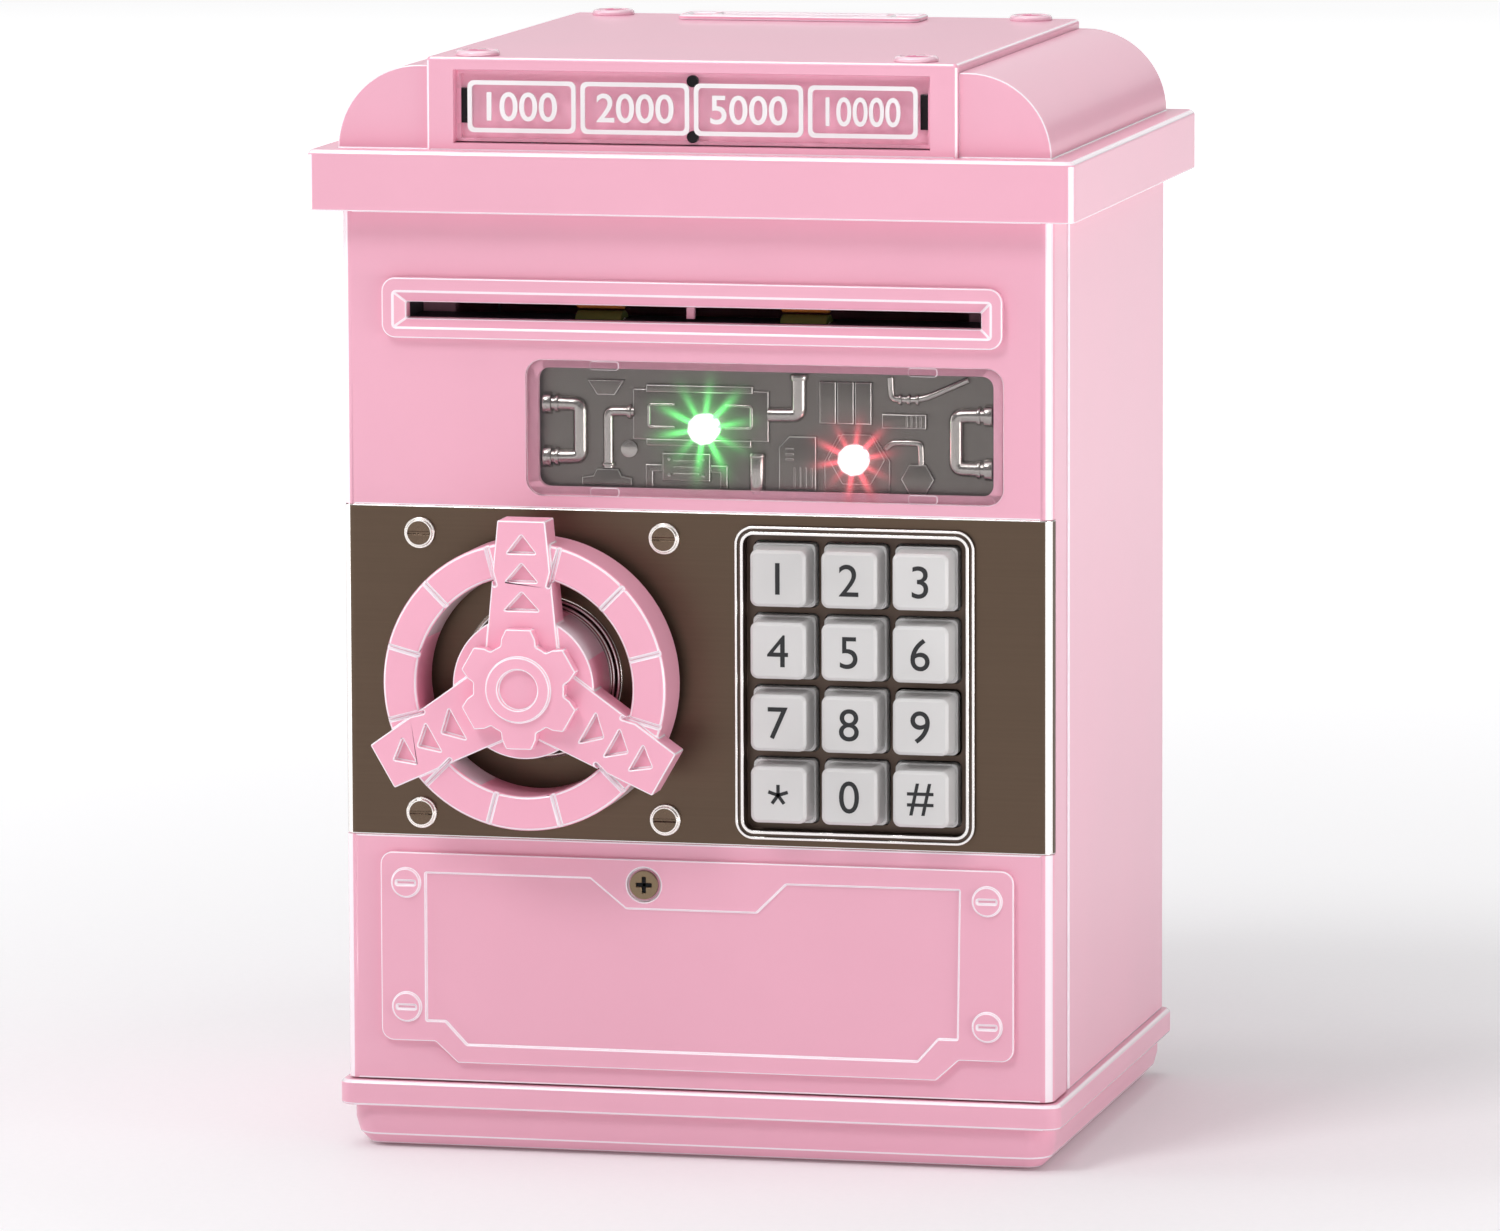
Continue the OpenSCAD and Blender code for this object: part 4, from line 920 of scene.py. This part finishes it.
# %% [markdown]
# ## The silver picture behind the window
# This is a shallow relief, sprayed silver: pipes with flanges, a machine with its two loops, a pump, a
# card, a meter and two hexagons. It is built of flat plates with softened edges and of round pipes. A
# pipe is a smooth curve with a round section, made into a mesh, and a plate is an outline that is
# extruded.

# %% Plates and pipes of the relief
relief_x, _, relief_z = middle("window_cover")
low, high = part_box("relief_panel")
BED = low[1] + 1.9 * MM
relief = []


def panel(x, z, rise=0.0):
    """A point of the picture, in millimetres from its middle and above its bed."""
    return Vector((relief_x + x * MM, BED - rise * MM, relief_z + z * MM))


def outline(points, rise, edge=0.18, base=0.0):
    """A flat plate with any outline, extruded from the bed to its height."""
    clear()
    bpy.ops.mesh.primitive_circle_add(vertices=len(points), radius=MM, fill_type="NGON",
                                      rotation=(math.pi / 2, 0, 0))
    obj = settle(named("relief_plate"))
    for vertex, (x, z) in zip(obj.data.vertices, points):
        vertex.co = panel(x, z, base)
    # The softened top edges of each plate get the brighter silver, a painted highlight.
    for finish in (silver, silver_painted_highlight):
        obj.data.materials.append(finish)
    edit(obj)
    bpy.ops.mesh.select_all(action="SELECT")
    bpy.ops.mesh.extrude_region_move(TRANSFORM_OT_translate={"value": (0, -rise * MM, 0)})
    bpy.ops.mesh.select_all(action="SELECT")
    bpy.ops.mesh.normals_make_consistent(inside=False)
    done()
    top = BED - (rise + base) * MM
    pick_edges(obj, lambda a, b: a.y < top + 1e-7 and b.y < top + 1e-7)
    bpy.ops.mesh.bevel(offset=edge * MM, segments=2, affect="EDGES", clamp_overlap=True, material=1)
    done()
    relief.append(obj)
    return obj


def plate(x0, z0, x1, z1, rise, edge=0.18, base=0.0):
    return outline([(x0, z0), (x1, z0), (x1, z1), (x0, z1)], rise, edge, base)


def hexagon(x, z, radius, rise, base=0.0):
    turns = [math.radians(60 * k) for k in range(6)]
    return outline([(x + radius * math.cos(a), z + radius * math.sin(a)) for a in turns], rise, 0.18, base)


print("bed of the picture at", round(BED / MM, 2), "mm")

# %% [markdown]
# A pipe starts as Blender's own path, whose points are replaced with those of the run. A ring is a short,
# soft cylinder for a flange, a collar or a pin.

# %% Pipes and rings of the relief
def pipe(points, radius, rise=0.2):
    clear()
    bpy.ops.curve.primitive_nurbs_path_add()
    obj = bpy.context.object
    curve = obj.data
    curve.splines.clear()
    path = curve.splines.new("NURBS")
    path.points.add(len(points) - 1)
    for knot, (x, z) in zip(path.points, points):
        knot.co = (*panel(x, z, rise), 1.0)
    path.order_u, path.use_endpoint_u, path.resolution_u = 3, True, 6
    curve.dimensions, curve.bevel_depth, curve.bevel_resolution = "3D", radius * MM, 4
    curve.use_fill_caps = True
    bpy.ops.object.convert(target="MESH")
    relief.append(settle(named("relief_pipe")))
    relief[-1].data.materials.append(silver_pipe)


def ring(x, z, radius, length, rise=0.2, axis="X"):
    obj = drum("relief_ring", panel(x, z, rise), radius * MM, length * MM, axis, 28)
    obj.data.materials.append(silver_pipe)
    relief.append(modify(obj, "BEVEL", width=0.15 * MM, segments=2, limit_method="ANGLE"))


print("pipe and ring ready")

# %% [markdown]
# The picture is laid out in millimetres from the window's middle, X to the right and Z up. At each end
# stands a bracket of pipe with two flanges. Between them, from the left, come a funnel over a bent pipe
# on its foot, and the machine with its two loops above a box that has four pins and an arm on each side.

# %% The left half of the picture
bed = round_slab("relief_bed", (low[0], BED, low[2]), (high[0], high[1], high[2]), 1.2 * MM)
bed.data.materials.append(silver)
relief.append(bed)
for side, middle_z in ((-1, -0.7), (1, -1.3)):
    bend, flange, top = side * 32.9, side * 38.6, 4.6
    pipe([(flange, middle_z + top), (bend + side * 1.6, middle_z + top), (bend, middle_z + top - 0.2),
          (bend, middle_z + top - 2.2), (bend, middle_z - top + 2.2), (bend, middle_z - top + 0.2),
          (bend + side * 1.6, middle_z - top), (flange, middle_z - top)], 1.35, 0.3)
    for rise_z in (top, -top):
        ring(flange, middle_z + rise_z, 1.95, 1.5, 0.1)
        ring(flange - side * 1.7, middle_z + rise_z, 1.7, 0.7, 0.2)
outline([(-31.6, 8.1), (-25.1, 8.1), (-26.8, 5.5), (-29.9, 5.5)], 0.7)
pipe([(-23.4, 2.7), (-26.4, 2.8), (-28.0, 2.6), (-28.0, 1.0), (-28.0, -7.0)], 0.95)
ring(-24.2, 2.7, 1.3, 0.7)
ring(-28.0, -6.4, 1.25, 0.6, axis="Z")
outline([(-32.6, -10.0), (-32.6, -8.7), (-30.6, -8.4), (-30.0, -7.2), (-26.2, -7.2), (-25.6, -8.4),
         (-23.8, -8.7), (-23.8, -10.0)], 0.8)
ring(-24.3, -3.7, 1.5, 1.5, -0.1, "Y")
plate(-23.6, -2.0, 0.2, 6.7, 0.6)
plate(-21.2, 6.2, -2.5, 7.5, 0.95)
plate(-21.2, -3.0, -2.8, -1.8, 0.95)
for side, x in ((-1, -16.2), (1, -7.4)):
    reach = x + side * 4.6
    pipe([(x, 4.1), (reach - side * 0.9, 4.1), (reach, 4.0), (reach, 3.2), (reach, 1.1), (reach, 0.3),
          (reach - side * 0.9, 0.2), (x, 0.2)], 0.32, 0.6)
plate(-18.4, -9.0, -10.0, -4.2, 0.9)
for x in (-17.2, -11.2):
    ring(x, -5.2, 0.35, 2.1, 0, "Y")
    ring(x, -8.0, 0.35, 2.1, 0, "Y")
for k in range(3):
    plate(-16.4, -5.7 - k * 1.1, -12.0, -5.4 - k * 1.1, 1.05, 0.08)
for side, x in ((-1, -18.4), (1, -10.0)):
    end = x + side * 3.0
    inner = end - side * 1.3
    outline([(x, -6.2), (end, -6.2), (end, -10.1), (inner, -10.1), (inner, -7.5), (x, -7.5)], 0.7)
print("pieces of the left half:", len(relief))

# %% [markdown]
# In the right half a canister stands under a pipe that turns upward. Three upright plates, the card with
# its bars and short lines, and a sloped housing that carries the large hexagon come next, then a pipe
# with three collars, the meter with its four bars, and the small hexagon at the end of a bent pipe.

# %% The right half of the picture
ring(-1.9, -7.4, 1.45, 7.0, 0.1, "Z")
ring(-1.9, -4.4, 1.6, 0.6, 0.1, "Z")
pipe([(0.2, 2.7), (3.4, 2.7), (5.4, 2.8), (5.5, 4.6), (5.5, 9.3)], 1.35)
ring(0.9, 2.7, 1.2, 0.9)
ring(5.5, 9.2, 1.65, 1.0, axis="Z")
for k in range(3):
    plate(9.1 + k * 3.1, 1.4, 12.0 + k * 3.1, 8.6, 0.75)
outline([(2.0, -10.1), (2.0, -2.8), (3.8, -0.9), (8.5, -0.9), (8.5, -10.1)], 0.7)
for k in range(4):
    plate(4.6 + k * 1.0, -9.6, 4.9 + k * 1.0, -6.2, 0.85, 0.06)
for k in range(3):
    plate(3.2, -3.2 - k * 0.9, 4.6, -2.9 - k * 0.9, 0.85, 0.06)
outline([(9.9, -10.2), (9.9, -5.0), (12.3, -0.5), (18.6, -0.5), (21.4, -4.8), (21.4, -10.2)], 0.55)
hexagon(15.6, -4.6, 5.0, 0.4, 0.5)
pipe([(21.4, 9.5), (21.5, 7.4), (21.7, 5.9), (23.2, 5.8), (26.9, 5.8), (31.0, 7.6), (35.0, 9.4)], 0.62)
for x in (23.2, 24.7, 26.2):
    ring(x, 5.8, 1.0, 0.55)
plate(20.0, 0.8, 27.7, 3.3, 0.7)
for k in range(4):
    plate(24.2 + k * 0.8, 1.1, 24.5 + k * 0.8, 3.0, 0.85, 0.06)
pipe([(20.6, -2.7), (21.4, -1.7), (23.0, -1.6), (26.4, -1.6), (26.8, -2.2), (26.8, -5.4)], 0.6)
hexagon(26.2, -7.8, 2.9, 0.8)
picture = place(smooth(join("relief_picture", relief), 35), "relief_panel")
print("relief faces:", len(picture.data.polygons))

# %% [markdown]
# ## Lamps, window and the small fittings
# The lamps keep their moulded shape and get their glow. The window is one clear cover with a rounded rim,
# painted pale as a highlight. A small T-shaped rib guides the note inside the slot, and it is seen through
# it from the front.

# %% Lamps and window
place(softened("led_green", "green_lamp_dome", 0.1 * MM, green_epoxy), "led_green")
place(softened("led_red", "red_lamp_dome", 0.1 * MM, red_epoxy), "led_red")
place(softened("window_cover", "window_plate", 0.2 * MM, window_clear_painted_star, painted_edge_highlight), "window_cover")

RIB_FRONT, RIB_BACK = -46.9 * MM, -46.0 * MM
RIB_TOP, RIB_LEFT = 1.5, 1.1

x, _, z = middle("bill_slot_bezel")
rib = []
for half, foot in ((1.9, 0.5), (0.7, -1.5)):
    rib.append(block("rib", (x - (RIB_LEFT + half) * MM, RIB_FRONT, z + foot * MM),
                     (x + (half - RIB_LEFT) * MM, RIB_BACK, z + RIB_TOP * MM)))
rib = modify(join("note_guide_rib", rib), "BEVEL", width=0.08 * MM, segments=2)
place(rib, "bill_slot_bezel", pink, False)
print("lamps, window and rib made")

# %% [markdown]
# The four studs of the crown have a saturated middle in a pale ring, and the ring is a painted highlight
# round each stud's top. The size of X and of Y folds the four corners onto one, so that one distance draws
# all four rings.

# %% Crown studs
STUD_IN, STUD_MIDDLE = 3.8 * MM, 2.55 * MM


def stud_ring_highlight():
    s = Shader("stud_pink_ring_highlight", Coat_Weight=0.8, Coat_Roughness=0.06)
    low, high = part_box("crown_studs")
    round_x, round_y = high[0] - STUD_IN, high[1] - STUD_IN
    split = s.node("ShaderNodeSeparateXYZ", None, s.place)
    dx, dy = split.out("X").size() - round_x, split.out("Y").size() - round_y
    far = s.root(dx * dx + dy * dy)
    inner = far.less(STUD_MIDDLE)
    grain = s.noise(900.0, 2.0)
    # The pale ring outside the middle is a painted highlight.
    tint = s.mix(inner, (0.93, 0.62, 0.72, 1.0), (0.78, 0.16, 0.33, 1.0))
    return s.wear(Base_Color=tint, Roughness=0.22 + 0.06 * grain)


place(softened("crown_studs", "stud_caps", 0.1 * MM, stud_ring_highlight()), "crown_studs")
print("studs made")

# %% [markdown]
# Bolts and screws are small, but their bright rims and dark slots are what the eye reads as metal. The
# bolts' bright rims are a painted highlight, drawn the same way as the studs' rings. The shade at the
# floor of each slot and in the screw's cross is painted as a thin dark bar.

# %% Bolts of the band, and the screw of the battery lid
BOLT_IN, BOLT_HIGHLIGHT_FROM = 2.7 * MM, 2.05 * MM
SLOT_LONG, SLOT_WIDE = 2.1 * MM, 0.32 * MM


def bolt_rim_highlight():
    s = Shader("bolts_painted_rim_highlight", Metallic=1.0)
    low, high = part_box("band_bolts")
    half_x, half_z = (high[0] - low[0]) / 2 - BOLT_IN, (high[2] - low[2]) / 2 - BOLT_IN
    x, _, z = middle("band_bolts")
    split = s.node("ShaderNodeSeparateXYZ", None, s.place)
    dx, dz = (split.out("X") - x).size() - half_x, (split.out("Z") - z).size() - half_z
    rim = s.root(dx * dx + dz * dz).more(BOLT_HIGHLIGHT_FROM)
    grain = s.noise(900.0, 2.0)
    # Beyond the inner radius, the bolt's rim is painted pale, as a highlight.
    tint = s.mix(rim, shade(BAND, 1.1), (0.93, 0.88, 0.84, 1.0))
    return s.wear(Base_Color=tint, Roughness=0.2 + 0.14 * grain)


place(softened("band_bolts", "slotted_bolts", 0.22 * MM, bolt_rim_highlight()), "band_bolts")
place(softened("battery_cover_screw", "lid_screw_head", 0.15 * MM, dull_brass), "battery_cover_screw")
# Thin black bars paint the shade in the bolts' slots and in the screw's cross.
slots = []
low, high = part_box("band_bolts")
for x in (low[0] + BOLT_IN, high[0] - BOLT_IN):
    for z in (low[2] + BOLT_IN, high[2] - BOLT_IN):
        slots.append(block("slot", (x - SLOT_LONG, low[1] + 0.42 * MM, z - SLOT_WIDE),
                           (x + SLOT_LONG, low[1] + 0.7 * MM, z + SLOT_WIDE)))
x, _, z = middle("battery_cover_screw")
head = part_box("battery_cover_screw")[0][1]
for w, h in ((1.35, 0.34), (0.34, 1.35)):
    slots.append(block("slot", (x - w * MM, head + 0.4 * MM, z - h * MM),
                       (x + w * MM, head + 0.55 * MM, z + h * MM)))
dark = modify(join("slot_shade_bars", slots), "BEVEL", width=0.06 * MM, segments=2)
place(dark, "band_bolts", painted_shade_black, False)
print("fittings made")

# %% [markdown]
# The lock's return spring sits between the coil and the plunger's collar, and the collar comes nearer by
# the whole travel. Here the spring is only a zinc twin of its node, given a mesh of its own.

# %% Return spring of the lock
low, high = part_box("plunger_spring")
spring = place(smooth(twin_of("plunger_spring", "return_spring", zinc)), "plunger_spring")
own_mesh(spring)


clear()
